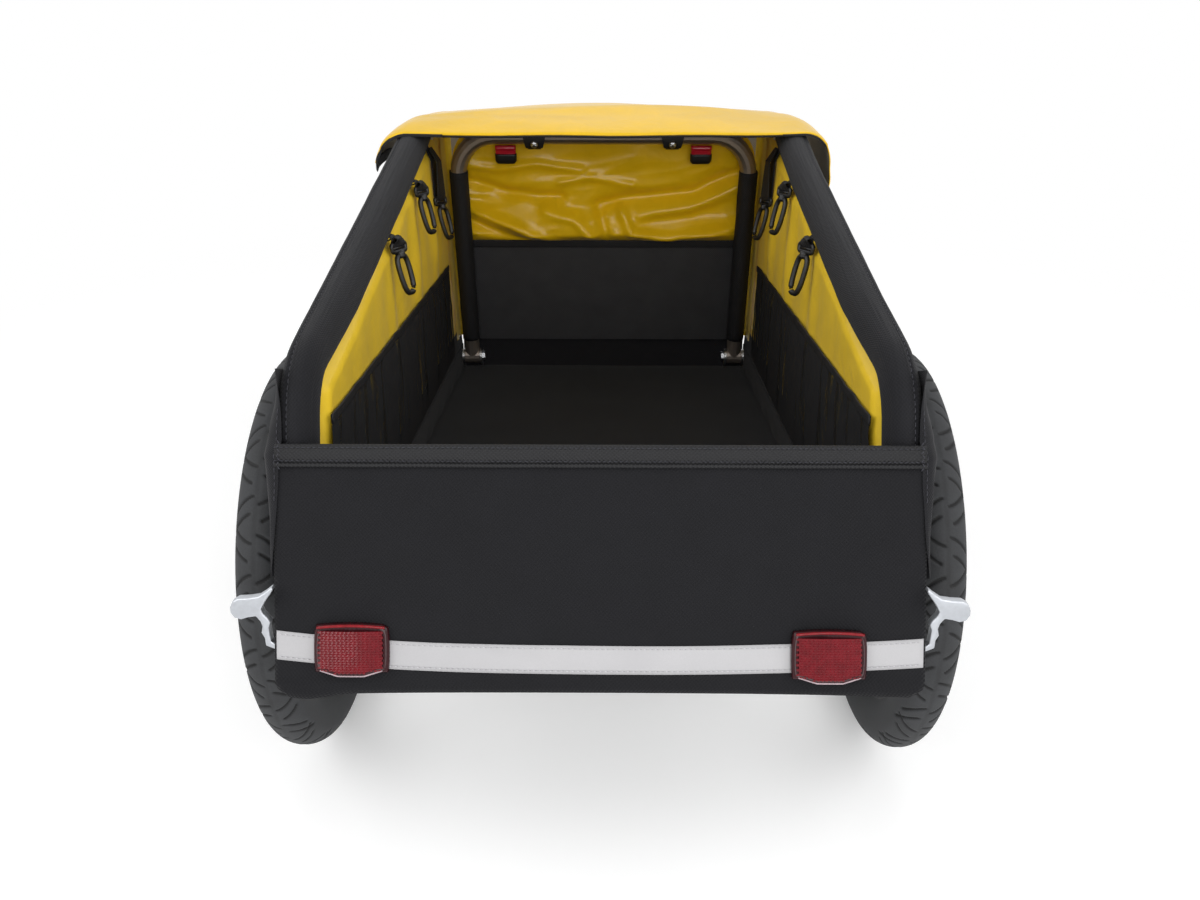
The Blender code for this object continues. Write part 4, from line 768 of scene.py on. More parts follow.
def wall_out(x, up):
    """How far the rear wall's outer face stands out from its plane."""
    bulge = bpy.context.scene.trailer_sizes.wall_bulge
    share = 1 - (x / PANEL_HALF_WIDTH) ** 4
    rise = math.sin(math.pi * min(1, max(0, up / PANEL_HEIGHT))) ** 0.7
    soft = fold_noise((x, up * 0.7, 0), 9) * 0.0034 * share * rise
    soft += (abs(fold_noise((x * 0.7 + up * 0.4, up * 1.1, 4), 19)) - 0.15) * 0.0022 * share * rise
    welt = 0.0011 * math.exp(-((up - 0.0042) / 0.0016) ** 2) - 0.0008 * math.exp(-((up - 0.0072) / 0.0010) ** 2)
    return bulge * max(0, share) * rise * 0.6 + soft + welt


def make_rear_wall():
    """The wall's cloth. Its bottom edge hangs lower towards the corners, most at the left one."""
    def point(u, v):
        up = (PANEL_HEIGHT + 0.006) * v
        x = (2 * u - 1) * wall_half(up)
        hang = 0.0020 + 0.0026 * abs(2 * u - 1) ** 3 + 0.0034 * math.exp(-((x + 0.222) / 0.018) ** 2)
        up -= hang * (1 - v) ** 6
        return rear_point(x, up, wall_out(x, up) - 0.002 * max(0.0, (up - PANEL_HEIGHT + 0.004) / 0.01))

    extent = (2 * PANEL_HALF_WIDTH, PANEL_HEIGHT)
    wall = add_piece("rear_wall", grid(point, 120, 44, extent), "black_fabric", "frame", "rear_panel")
    modify(wall, "SOLIDIFY", thickness=0.0022, offset=-1)
    return [wall]


def make_binding(stitch):
    """A flat band over the wall's top edge, with a roll of cloth below it and two rows of stitches."""
    half = BINDING_HEIGHT / 2
    section = []
    for t in range(14):
        angle = 2 * math.pi * t / 14
        section.append((bulged(math.cos(angle), 0.6) * half, bulged(math.sin(angle), 0.8) * 0.0027))
    edge = PANEL_HALF_WIDTH - 0.001
    path = [rear_point(-edge + 2 * edge * i / 90, PANEL_HEIGHT + 0.0003 + half, -0.0015) for i in range(91)]

    def ripple(distance, a, b, _):
        return a, b + fold_noise((distance, a * 3, 0), 55) * 0.0006

    fold = [p - REAR_UP * (half + 0.0005) + REAR_OUT * 0.0022 for p in path]
    made = merge(sweep(path, section, REAR_UP, shape=ripple),
                 sweep(fold, ring_section(0.0017, 12), REAR_UP, shape=ripple))
    rows = [stitch_row([p + REAR_UP * lift + REAR_OUT * 0.0027 for p in path], REAR_OUT, stitch, 0.00032)
            for lift in (half - 0.0026, -half + 0.0028)]
    return [add_piece("rear_wall_binding", made, "webbing", "frame", "rear_top_binding"),
            add_piece("binding_stitches", merge(*rows), "black_thread", "frame")]


def tape_lift(x):
    """The tape is sewn a little higher towards the wall's sides."""
    reach = abs(x) / PANEL_HALF_WIDTH
    return 0.0024 + (0.0105 if x < 0 else 0.0060) * reach ** 2.4


def make_strip(stitch):
    """The reflective tape, which wraps a little round the wall's sides, with a row of stitches along each edge."""
    low, width = 0.0103, 0.022

    def point(u, v):
        x = (2 * u - 1) * (PANEL_HALF_WIDTH + 0.0006)
        up = low + tape_lift(x) + width * v
        wrap = max(0.0, abs(x) - PANEL_HALF_WIDTH + 0.0012)
        return rear_point(x, up, wall_out(x, up) + 0.0009 - wrap * 1.5)

    strip = add_piece("tape_strip", grid(point, 160, 6, (0.492, width)), "tape", "frame", "reflective_strip")
    modify(strip, "SOLIDIFY", thickness=0.0007, offset=-1)
    rows = []
    for edge in (low + 0.0024, low + width - 0.0024):
        places = [(x / 1000, edge + tape_lift(x / 1000)) for x in range(-243, 244, 6)]
        line = [rear_point(x, up, wall_out(x, up) + 0.0010) for x, up in places]
        rows.append(stitch_row(line, REAR_OUT, stitch, 0.0003))
    return [strip, add_piece("tape_stitches", merge(*rows), "pale_thread", "frame")]


def make_reflector(word, x, cell):
    """A bowed red lens with columns of prism cells between dark sides, a brighter red lip above as a painted
    highlight, and a cut lower rim with a pale painted highlight along it.
    """
    half_width, half_height, depth = 0.0285, 0.0205, 0.009
    middle = half_height + (0.0112 if word == "left" else 0.0072)
    back = 0.0016

    def place(a, b, rise):
        bow = depth * (1 - 0.30 * (a / half_width) ** 2 - 0.10 * (b / half_height) ** 2)
        return rear_point(x + a, middle + b, back + bow * rise)

    def cut(share):
        """How much of the lower edge's cut is left, from its middle part to its corners."""
        return max(0.0, share - 0.42) / 0.58

    def outline(shrink, count=18):
        wide, high, corner = half_width - shrink, half_height - shrink, 0.0035
        ends = [i / (count - 1) for i in range(count)]
        line = [(wide - 0.0012 * abs(2 * t - 1) ** 3, -high + corner + 2 * (high - corner) * t) for t in ends]
        line += [((wide - corner * 0.5) * (1 - 2 * t), high - 0.0016 * (2 * t - 1) ** 2) for t in ends[1:]]
        line += [(-wide + 0.0012 * abs(2 * t - 1) ** 3, high - corner - 2 * (high - corner) * t) for t in ends]
        line += [(-wide + corner + 2 * (wide - corner) * t, -high + 0.0042 * cut(abs(2 * t - 1)))
                 for t in ends[1:-1]]
        return line

    # Each ring: how far it is drawn in and how far it rises
    rings = [(0.0, 0.0), (0.0, 0.66), (0.0006, 0.84), (0.0016, 0.94), (0.0030, 0.98), (0.0034, 0.90)]
    points = [place(a, b, rise) for shrink, rise in rings for a, b in outline(shrink)]
    count = len(outline(0))
    faces = quads(len(rings), count, True) + caps(len(rings), count)
    add_piece(f"reflector_rim_{word}", (points, faces), "reflector_side", "frame", f"reflector_{word}")
    ends = [i / 12 - 1 for i in range(25)]
    # A brighter red lip along the top: a painted highlight
    lip = [place((half_width - 0.003) * t, half_height - 0.0016 - 0.0018 * t ** 2, 1.02) for t in ends]
    add_piece(f"reflector_lip_{word}", sweep(lip, ring_section(0.0011, 10), REAR_UP), "reflector_lip", "frame")
    # A pale thread along the cut lower edge: a painted highlight
    glint = [place((half_width - 0.005) * t, -half_height + 0.0010 + 0.0040 * cut(abs(t)), 0.92) for t in ends]
    add_piece(f"reflector_edge_{word}", sweep(glint, ring_section(0.0006, 8), REAR_UP), "lower_edge_highlight", "frame")
    points, faces = [], []
    rows = int(2 * half_height / (cell * 0.5)) + 1
    columns = int(2 * half_width / cell) + 1
    w, h = cell * 0.5, cell * 0.31
    for column in range(-columns // 2, columns // 2 + 1):
        for row in range(-rows // 2, rows // 2 + 1):
            cx = column * cell + (0.25 * cell if row % 2 else 0.0)
            cy = row * cell * 0.62
            bottom = -half_height + 0.0032 + 0.0040 * max(0.0, abs(cx) / half_width - 0.42)
            if abs(cx) > half_width - 0.0042 or not bottom <= cy <= half_height - 0.0060:
                continue
            base = len(points)
            points += [place(cx + a * w, cy + b * h, 0.93) for a, b in ((-1, -1), (1, -1), (1, 1), (-1, 1))]
            points.append(place(cx - w * 0.2, cy + h * 0.1, 0.93) + REAR_OUT * 0.0007)
            faces += [(base + k, base + (k + 1) % 4, base + 4) for k in range(4)]
    lens = add_piece(f"reflector_prisms_{word}", (points, faces), "reflector", "frame")
    lens.data.shade_flat()


# Side walls

class TRAILER_OT_side_walls(bpy.types.Operator):
    """Adds the yellow side walls with their black outer layer and the mesh pockets."""

    bl_idname = "trailer.side_walls"
    bl_label = "Side walls"

    def execute(self, context):
        for word, side in SIDES.items():
            make_side_wall(word, side)
            make_pocket(word, side)
        return {"FINISHED"}


def soft_min(a, b, width):
    """The smaller of two values, rounded over a width where they are nearly equal."""
    share = clamp(0.5 + 0.5 * (b - a) / width)
    return b * (1 - share) + a * share - width * share * (1 - share)


def wall_top(y):
    """The side wall's upper edge at a place along the trailer. It runs into the sleeve and on to the hoop."""
    rail = rail_z(y) - 0.006
    rear = (y - post_y(0) - 0.004) / math.tan(REAR_LEAN)
    front = (leg_y(0) + 0.035 - y) * HOOP_ALONG.z / -HOOP_ALONG.y
    return max(WALL_BOTTOM + 0.001, soft_min(soft_min(rail, rear, 0.006), front, 0.010))


def wall_fold(y, z):
    """Soft upright folds, deeper under each hook, as a distance towards the middle of the trailer."""
    depth = 0.0
    for place, _ in HOOK_PLACES.values():
        near = math.exp(-((y - place) / 0.040) ** 2)
        depth += near * 0.0040 * math.sin((y - place) * 85 + 0.8 + z * 6)
    low = (z - WALL_BOTTOM) / 0.25
    return depth * max(0.2, 1.1 - low * 0.5) + fold_noise((y, z * 0.4, 0.3), 16) * 0.0036


def make_side_wall(word, side):
    """The yellow inner layer, whose edges run into the sleeve, and the black outer layer behind it."""
    start, end = post_y(WALL_BOTTOM) + 0.004, leg_y(WALL_BOTTOM) + 0.034
    extent = (end - start, 0.26)

    def layer(out):
        inner = out == 0.0

        def point(u, v):
            y = start + out * 2.4 + (end - start - out * 4.8) * u
            z = WALL_BOTTOM + (wall_top(y) - out * 1.2 - WALL_BOTTOM) * v
            fade = math.sin(math.pi * min(1, v * 1.02)) ** 0.5 if v < 0.98 else 0.15
            fade *= min(1.0, (end - 0.02 - y) / 0.04 if y < end - 0.02 else 0.0)
            above = clamp((z - 0.178) / 0.05)
            fold = min(0.0048, wall_fold(y, z) * fade * (0.15 + 0.85 * above) * (1.0 if inner else 0.5))
            to_edge = min((y - post_y(z)) * math.cos(REAR_LEAN), (rail_z(y) - z) / math.sqrt(1 + RAIL_SLOPE ** 2))
            close = clamp((0.026 - to_edge) / 0.014)
            tucked = (0.0095 if inner else 0.004) * ease(close)
            return Vector((side * (WALL_PLANE + out - fold * (1 - close) + tucked), y, z))
        return point

    made = grid(layer(0.0), 130, 40, extent, -side)
    # The inner layer's paler yellow is painted light
    inner = add_piece(f"side_wall_inner_{word}", made, "yellow_side", f"{word}_side", f"side_panel_{word}")
    made = grid(layer(0.0042), 90, 26, extent, side)
    outer = add_piece(f"side_wall_outer_{word}", made, "black_fabric", f"{word}_side")


def make_pocket(word, side):
    """A mesh pocket from post to hoop, gathered on an elastic edge."""
    bottom, top = 0.0625, 0.190
    behind = 0.0205
    rear, front = post_y(bottom) + behind, 0.485
    rear_high, front_high = post_y(top) + behind, 0.465

    def point(u, v):
        y_low = rear + (front - rear) * u
        y_high = rear_high + (front_high - rear_high) * u
        y = y_low + (y_high - y_low) * v
        sag = math.sin(math.pi * u) * math.sin(math.pi * min(1, v * 0.9 + 0.1)) ** 0.6
        ripple = fold_noise((y, 0.2 * v, side), 40) * 0.0016 * v
        return Vector((side * (WALL_PLANE - 0.0029 - 0.0035 * sag - ripple), y, bottom + (top - bottom) * v))

    extent = (front - rear, top - bottom)
    pocket = add_piece(f"pocket_mesh_{word}", grid(point, 110, 24, extent, -side), "mesh", f"{word}_side",
                       f"mesh_pocket_{word}")
    path = [point(i / 110, 1.0) + Vector((0, 0, 0.001)) for i in range(111)]
    edge = sweep(path, strap_section(0.0085, 0.0018), Vector((0, 0, 1)))
    band = add_piece(f"pocket_elastic_{word}", edge, "webbing", f"{word}_side")


# Rail sleeves

class TRAILER_OT_sleeves(bpy.types.Operator):
    """Adds the padded sleeves round the side rails with their seams."""

    bl_idname = "trailer.sleeves"
    bl_label = "Rail sleeves"

    def execute(self, context):
        for word, side in SIDES.items():
            make_sleeve(word, side, context.scene.trailer_sizes.stitch)
        return {"FINISHED"}


def make_sleeve(word, side, stitch):
    """The sleeve is a padded inner half and a flat outer layer that meet in a seam on its outer upper side."""
    path = sleeve_path(side)
    total = run_lengths(path)[-1]
    seam_at = math.radians(56)
    radius = SLEEVE_RADIUS * (0.955 if side > 0 else 0.975)
    least = 0.0132
    # The filling has slipped to the inner side between the post and the cover
    slip = 0.0046 if side > 0 else 0.0016
    last = len(path) - 1
    slips = [slip * min(1.0, max(0.0, i / last - 0.14) / 0.22) * min(1.0, 0.35 + (1 - i / last) / 0.3)
             for i in range(last + 1)]
    path = [p - Vector((side * move, 0, 0)) for p, move in zip(path, slips)]

    def soft(distance, a, b, k):
        out = math.atan2(-b, a * side)
        swell = 1 + 0.035 * fold_noise((distance * 0.6, k * 0.05, side), 22)
        edge = min(distance, total - distance) / 0.010
        tuck = 1 - 0.10 * max(0, 1 - edge) ** 2
        # The padding thins on the post, most on its inner side, and never shows the tube
        low = ease(clamp((0.27 - distance) / 0.17))
        inner = 1 - 0.27 * low * max(0.0, -a * side / SLEEVE_RADIUS) ** 1.3 - 0.06 * low
        seam = 1 - 0.10 * math.exp(-((out - seam_at) / 0.07) ** 2)
        layer = 1.05 if -1.6 < out < seam_at else 1.0
        scale = max(swell * tuck * inner * seam * layer, least / math.hypot(a, b))
        return a * scale, b * scale

    made = add_piece(f"sleeve_{word}", sweep(path, ring_section(radius, 120), ACROSS, shape=soft), "sleeve_fabric",
                     f"{word}_side", f"rail_sleeve_{word}")
    line = []
    angle = seam_at + 0.16
    for i, place in enumerate(path[1:-1], 1):
        tangent = (path[i + 1] - path[i - 1]).normalized()
        above = -tangent.cross(ACROSS).normalized()
        line.append(place + (ACROSS * side * math.cos(angle) + above * math.sin(angle)) * SLEEVE_RADIUS * 0.99)
    seams = stitch_row(line, Vector((side * 0.5, 0, 0.87)), stitch * 1.3, 0.0003)
    add_piece(f"sleeve_stitches_{word}", seams, "black_thread", f"{word}_side")
    make_flange(word, side)


# The flange's stations: height up the rear wall's slope, inner X, outer X, how far the outer edge stands forward
FLANGE = ((0.086, 0.2492, 0.2494, 0.003), (0.110, 0.2466, 0.2502, 0.006), (0.135, 0.2445, 0.2514, 0.008),
          (0.158, 0.2430, 0.2534, 0.010), (0.178, 0.2425, 0.2560, 0.013), (0.192, 0.2428, 0.2570, 0.018),
          (0.204, 0.2432, 0.2552, 0.022), (0.216, 0.2440, 0.2522, 0.024), (0.230, 0.2458, 0.2498, 0.024),
          (0.244, 0.2478, 0.2484, 0.020))


def make_flange(word, side):
    """The outer layer's wide edge: it leaves the rail at its seam, lies over the post and ends on the rear wall."""
    turn = 0.55

    def point(u, v):
        up, inner, outer, ahead = between(FLANGE, u, 0.35)
        wall = clamp((0.190 - up) / 0.012)
        rear = wall_out(inner, min(up, PANEL_HEIGHT)) + 0.0012
        rear = rear * wall + (-POST_SETBACK + 0.0162) * (1 - wall)
        if v < turn:
            t = v / turn
            x = inner + (outer - inner) * t
            out = rear - (ahead * 0.5) * t ** 2
        else:
            t = (v - turn) / (1 - turn)
            x = outer - 0.006 * t ** 2
            out = rear - ahead * (0.5 + 1.2 * t)
        soft = fold_noise((up * 1.2, v * 0.3, side), 24) * 0.0009
        return rear_point(side * (x + soft), up, out)

    flange = add_piece(f"side_flange_{word}", grid(point, 60, 12, (0.25, 0.03), side), "sleeve_fabric",
                       f"{word}_side")
    rows = [stitch_row([point(i / 90, 0.16) for i in range(24, 70)], REAR_OUT, 0.0052, 0.00035)]
    # Zigzag stitches hold its end on the rear wall
    for i in range(7):
        near, up = 0.2405 + 0.0022 * (i % 2), 0.168 + 0.0032 * i
        zig = [rear_point(side * near, up, 0.0052), rear_point(side * (0.4832 - near), up + 0.0032, 0.0052)]
        rows.append(stitch_row(zig, REAR_OUT, 0.004, 0.0004))
    seams = add_piece(f"flange_stitches_{word}", merge(*rows), "black_thread", f"{word}_side")
    for piece in (flange, seams):
        crumple(piece)


# Hooks

class TRAILER_OT_hooks(bpy.types.Operator):
    """Adds the snap hooks and the webbing loops that they hang from."""

    bl_idname = "trailer.hooks"
    bl_label = "Snap hooks"

    def execute(self, context):
        for word, side in SIDES.items():
            for place, (y, extra) in HOOK_PLACES.items():
                make_hook(word, side, place, y, extra)
        return {"FINISHED"}


def make_hook(word, side, place, y, extra):
    """A moulded snap hook: a ladder block for the webbing, a neck, and a long ring with a sprung gate."""
    lower = 0.006 if extra else -0.007
    top = rail_z(y) - SLEEVE_RADIUS - 0.0063 - extra - lower
    x = side * (HOOK_PLANE - (0.0060 if extra else 0.0048))
    turned = math.radians(25)
    across = Vector((math.cos(turned), side * math.sin(turned), 0))

    def at(a, b):
        lean = 0.22 * min(0.0, b + 0.004)
        return Vector((x - side * a * math.sin(turned) + side * lean, y + a * math.cos(turned), top + b))

    def bar(places, radius, squash=1.0):
        return sweep([at(a, b) for a, b in places], ring_section(radius, 12, squash), across)

    corners = ((0, -0.0010), (-0.0118, -0.0010), (-0.0108, -0.0086), (0.0108, -0.0086), (0.0118, -0.0010),
               (0, -0.0010))
    ladder = bent_path([at(a, b) for a, b in corners], (0.0022,) * 4)
    eye = sweep(spaced(ladder[:-1], 0.004), ring_section(0.0021, 10, 1.1), across, closed=True)
    slider = bar(((-0.0112, -0.0050), (0.0112, -0.0050)), 0.0014)
    centre = -0.0320
    ring_line = []
    for i in range(61):
        angle = math.radians(-40 + 336 * i / 60)
        wide = 0.0084 * (1 + 0.10 * math.sin(angle))
        ring_line.append((bulged(math.cos(angle), 0.5) * wide, centre + 0.0188 * bulged(math.sin(angle), 0.8)))
    ring = bar(ring_line, 0.0029)
    gate = bar(((0.0084, centre - 0.0125), (0.0080, centre - 0.004), (0.0074, centre + 0.006),
                (0.0060, centre + 0.0150)), 0.0014)
    tip = bar(((0.0058, centre - 0.0150), (0.0072, centre - 0.0128), (0.0084, centre - 0.0112)), 0.0022)
    neck = bar(((0, -0.0080), (0, -0.0100), (0, -0.0122), (0, -0.0146)), 0.0056, 0.8)
    add_piece(f"hook_{place}_{word}", merge(eye, slider, ring, gate, tip, neck), "nylon", f"{word}_hook_{place}",
              f"snap_hook_{place}_{word}")
    make_hook_loop(word, side, place, (x, y, top), extra, turned)


def make_hook_loop(word, side, place, eye, extra, turned):
    """The webbing loop from the sleeve down through the hook's block. It twists to the way the hook faces."""
    x, y, top = eye
    rail = rail_z(y) - SLEEVE_RADIUS * 0.72
    high, over, under = top + 0.008 + extra * 0.8, top + 0.003, top - 0.0032
    loop = ((0.014, rail), (0.0060, high), (0.0030, over), (0.0012, under), (-0.0014, under), (-0.0026, over),
            (-0.0010, high), (0.009, rail - 0.002))
    loop = bent_path([Vector((x + side * out, y, z)) for out, z in loop],
                     (0.004, 0.003, 0.0012, 0.0012, 0.003, 0.004))
    points, faces, flat = sweep(spaced(loop, 0.003), strap_section(0.0185, 0.0014), Vector((0, 1, 0)))
    pivot = Vector((x, y, 0))
    turns = [Matrix.Rotation(side * turned * clamp((rail - p.z) / (rail - top)), 3, "Z") for p in points]
    points = [pivot + turn @ (p - pivot) for p, turn in zip(points, turns)]
    add_piece(f"hook_loop_{place}_{word}", (points, faces, flat), "webbing", f"{word}_side")


# Hoop

class TRAILER_OT_hoop(bpy.types.Operator):
    """Adds the front hoop with its clamps, screws, release tabs and leg webbing."""

    bl_idname = "trailer.hoop"
    bl_label = "Front hoop"

    def execute(self, context):
        dress("hoop", "front_hoop")
        for word, side in SIDES.items():
            make_leg_band(word, side)
            make_clamp(word, side)
            make_tab(word)
        return {"FINISHED"}


# Stations across the corner strip: X, and how far ahead of the hoop's plane
CORNER_STRIP = ((0.2065, 0.0185), (0.2110, 0.0180), (0.2140, 0.0150), (0.2148, 0.0090), (0.2148, -0.0060),
                (0.2146, -0.0220))


def make_leg_band(word, side):
    """The black cloth sewn round each leg of the hoop, and the strip that closes the corner to the side wall."""
    x = side * HOOP_HALF_WIDTH
    path = [hoop_point(x, 0.030 + 0.252 * i / 50, 0) for i in range(51)]

    def soft(distance, a, b, k):
        scale = 1 + 0.05 * fold_noise((distance, k * 0.1, side), 30)
        return a * scale, b * scale

    band = sweep(path, ring_section(0.0126, 28), ACROSS, shape=soft)
    add_piece(f"leg_band_{word}", band, "webbing", "hoop")
    height = 0.304

    def point(u, v):
        across, ahead = between(CORNER_STRIP, v)
        return hoop_point(side * across, 0.026 + height * u, ahead)

    # The corner strip's paler yellow is painted light
    add_piece(f"front_corner_{word}", grid(point, 50, 15, (height, 0.05), side), "yellow_side", "hoop")


def make_clamp(word, side):
    """The saddle clamp keeps its solid shape. Its screw gets a dished steel head with a cross recess."""
    dress("nylon", f"hoop_clamp_{word}")
    x = side * 0.0915
    outer = HOOP_RADIUS + 0.0042
    # Each ring of the head: its radius and how far it rises
    profile = [(0.0, 0.0046), (0.0030, 0.0044), (0.0045, 0.0036), (0.0050, 0.0024), (0.0050, 0.0)]
    points = []
    count = 24
    for radius, rise in profile:
        for i in range(count):
            angle = 2 * math.pi * i / count
            dish = 0.0010 if radius < 0.0035 and abs(math.sin(2 * angle)) < 0.35 else 0.0
            up = HOOP_LENGTH - outer * 0.45 + radius * math.sin(angle)
            points.append(hoop_point(x + radius * math.cos(angle), up, -outer + 0.0010 - rise + dish))
    add_piece(f"clamp_screw_{word}", (points, quads(len(profile), count, True)), "steel", "hoop")
    # Each row of the plate: its height over the hoop, half its width, and how far ahead of the hoop's plane
    rows = ((0.0125, 0.0125, -0.0125), (0.0120, 0.0160, -0.0150), (0.0030, 0.0150, -0.0158),
            (-0.0100, 0.0120, -0.0158), (-0.0122, 0.0108, -0.0150), (-0.0124, 0.0100, -0.0125))
    points = [hoop_point(x + half * (i / 4 - 1), HOOP_LENGTH + up, ahead - 0.0004 * math.sin(math.pi * i / 8))
              for up, half, ahead in rows for i in range(9)]
    add_piece(f"clamp_plate_{word}", (points, quads(len(rows), 9)), "nylon", "hoop")


def make_tab(word):
    """The red lever: a barrel on the hoop, a flat blade, and a black grip over the blade's lower half."""
    body = f"{word}_release_tab"
    pivot = TRAILER.inverted() @ Vector(JOINTS[f"{word}_tab_flip"]["pos_m"])
    width = 0.0272
    blade = [pivot - HOOP_ALONG * (-0.0010 + 0.0030 * i) + HOOP_AHEAD * 0.0002 * i for i in range(7)]
    barrel = [pivot + Vector((width * (i / 8 - 0.5), 0, 0)) for i in range(9)]
    made = merge(sweep(blade, strap_section(width, 0.0042), ACROSS),
                 sweep(barrel, ring_section(0.0036, 16), HOOP_ALONG))
    add_piece(f"tab_blade_{word}", made, "red_tab", body, f"release_tab_{word}")
    line = [pivot - HOOP_ALONG * (0.0078 + 0.0022 * i) + HOOP_AHEAD * (0.0004 + 0.0002 * i) for i in range(7)]

    def taper(distance, a, b, _):
        end = max(0.0, distance - 0.0085) / 0.0045
        return a * (1 - 0.16 * end ** 2), b * (1 - 0.3 * end)

    add_piece(f"tab_grip_{word}", sweep(line, strap_section(0.0290, 0.0076), ACROSS, shape=taper), "nylon", body)


# Front wall

class TRAILER_OT_front_wall(bpy.types.Operator):
    """Adds the wrinkled yellow front wall, its binding and the black cloth below."""

    bl_idname = "trailer.front_wall"
    bl_label = "Front wall"

    def execute(self, context):
        make_front_wall(context.scene.trailer_sizes.wrinkle)
        return {"FINISHED"}


# Each crease: its line through (x, up) places in the hoop's plane, its width and its height towards the rear
CREASES = (
    (((-0.203, 0.232), (-0.130, 0.205), (-0.058, 0.172)), 0.0075, 1.3),
    (((-0.203, 0.214), (-0.150, 0.192), (-0.100, 0.172)), 0.0065, -1.0),
    (((0.026, 0.222), (0.040, 0.192), (0.095, 0.178)), 0.0080, 1.2),
    (((-0.004, 0.216), (0.010, 0.172)), 0.0070, -0.8),
    (((-0.206, 0.288), (-0.150, 0.279), (-0.092, 0.288), (-0.030, 0.278)), 0.0060, 0.6),
    (((-0.206, 0.280), (-0.190, 0.262), (-0.132, 0.246), (-0.060, 0.240)), 0.0080, -0.9),
    (((0.210, 0.285), (0.124, 0.246), (0.036, 0.238), (-0.006, 0.228)), 0.0095, -1.1),
    (((0.206, 0.262), (0.120, 0.226), (0.050, 0.216)), 0.0090, 0.9),
    (((0.206, 0.206), (0.102, 0.182), (0.060, 0.174)), 0.0080, 1.0),
    (((-0.060, 0.262), (-0.020, 0.268), (0.040, 0.258)), 0.0055, 0.5),
    (((-0.080, 0.224), (-0.040, 0.214), (-0.015, 0.186)), 0.0080, 0.9),
)


def near_line(x, up, line):
    """The distance of a place from a line of (x, up) pairs."""
    best = 1.0
    for (ax, ay), (bx, by) in zip(line, line[1:]):
        dx, dy = bx - ax, by - ay
        t = clamp(((x - ax) * dx + (up - ay) * dy) / (dx * dx + dy * dy))
        best = min(best, math.hypot(x - ax - t * dx, up - ay - t * dy))
    return best


def front_fold(x, up, depth):
    """The front wall's creases, and the finer crumples between them."""
    lift = sum(height * math.exp(-(near_line(x, up, line) / width) ** 2) for line, width, height in CREASES)
    small = (0.35 - abs(fold_noise((x * 0.7 + up * 0.6, up * 1.5 - x * 0.3, 1.3), 21))) * 0.9
    small += (0.3 - abs(fold_noise((x * 0.5 - up * 0.7, up * 1.2, 5.3), 46))) * 0.32
    small += fold_noise((x, up, 2.1), 10) * 1.2
    # The cloth has slipped down and bulges above the binding
    low = clamp((0.232 - up - 0.012 * math.sin(x * 14)) / 0.045)
    return -depth * (lift * 0.85 + small * 0.5 + 1.7 * ease(low))


def make_front_wall(depth):
    """The wrinkled upper cloth, the plain lower cloth and the binding where they meet."""
    half = 0.2065
    foot, split, top = 0.020, 0.172, HOOP_LENGTH + HOOP_RADIUS - 0.001

    def cloth(low, high):
        def point(u, v):
            up = low + (high - low) * v
            corner = max(0.0, up - (HOOP_LENGTH + HOOP_RADIUS - HOOP_BEND))
            pull = HOOP_BEND - math.sqrt(max(0.0, HOOP_BEND ** 2 - corner ** 2))
            x = (2 * u - 1) * (half - pull)
            edge = min(1.0, (half - abs(x)) / 0.030) ** 0.7 if abs(x) < half else 0.0
            near_top = min(1.0, (HOOP_LENGTH - 0.012 - up) / 0.03)
            lift = front_fold(x, up, depth) * edge * max(0.15, near_top)
            lift *= min(1.0, max(0.0, up - low - 0.0045) / 0.014) ** 0.7 if low == split else 0.12 * (1 - v) ** 0.5
            return hoop_point(x, up, 0.0175 + lift)
        return point

    for name, low, high, columns, rows, use, stands_for in (
            ("front_wall_upper", split, top, 150, 72, "yellow_fabric", ["front_panel"]),
            # The lower cloth's lighter black is painted light
            ("front_wall_lower", foot, split, 90, 40, "front_fabric_painted_light", [])):
        extent = (2 * half, high - low)
        piece = add_piece(name, grid(cloth(low, high), columns, rows, extent), use, "hoop", *stands_for)
    lower = cloth(foot, split)
    path = [lower(i / 90, 1.0) - HOOP_AHEAD * 0.0020 for i in range(91)]
    add_piece("front_wall_binding", sweep(path, strap_section(0.011, 0.002), HOOP_ALONG), "webbing", "hoop")


# Cover

class TRAILER_OT_cover(bpy.types.Operator):
    """Adds the yellow cover as it lies turned forward over the hoop and the rail ends."""

    bl_idname = "trailer.cover"
    bl_label = "Cover"

    def execute(self, context):
        for piece in make_cover(context.scene.trailer_sizes.cover_fold):
            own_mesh(piece)
        return {"FINISHED"}


def cover_station(v):
    """The cover's shoulder height and place along the trailer, from its rear edge to the foot of its apron."""
    over = SLEEVE_RADIUS * math.sqrt(1 + RAIL_SLOPE ** 2) + 0.0048
    rest = front_bend_start().y
    level = rail_z(rest) + over
    line = [(0.318, rail_z(0.318) + over), (rest, level), (0.474, level), (0.535, level - 0.012), (0.558, 0.34),
            (0.580, 0.150)]
    lengths = run_lengths(line)

    def at(share):
        want = share * lengths[-1]
        k = 0
        while k < len(line) - 2 and want > lengths[k + 1]:
            k += 1
        t = (want - lengths[k]) / (lengths[k + 1] - lengths[k])
        return [a + (b - a) * t for a, b in zip(line[k], line[k + 1])]

    # Cloth bends softly from one stretch to the next
    span = min(0.055, v, 1 - v)
    near = [at(v + span * (i / 6 - 1)) for i in range(13)]
    return sum(p[0] for p in near) / 13, sum(p[1] for p in near) / 13


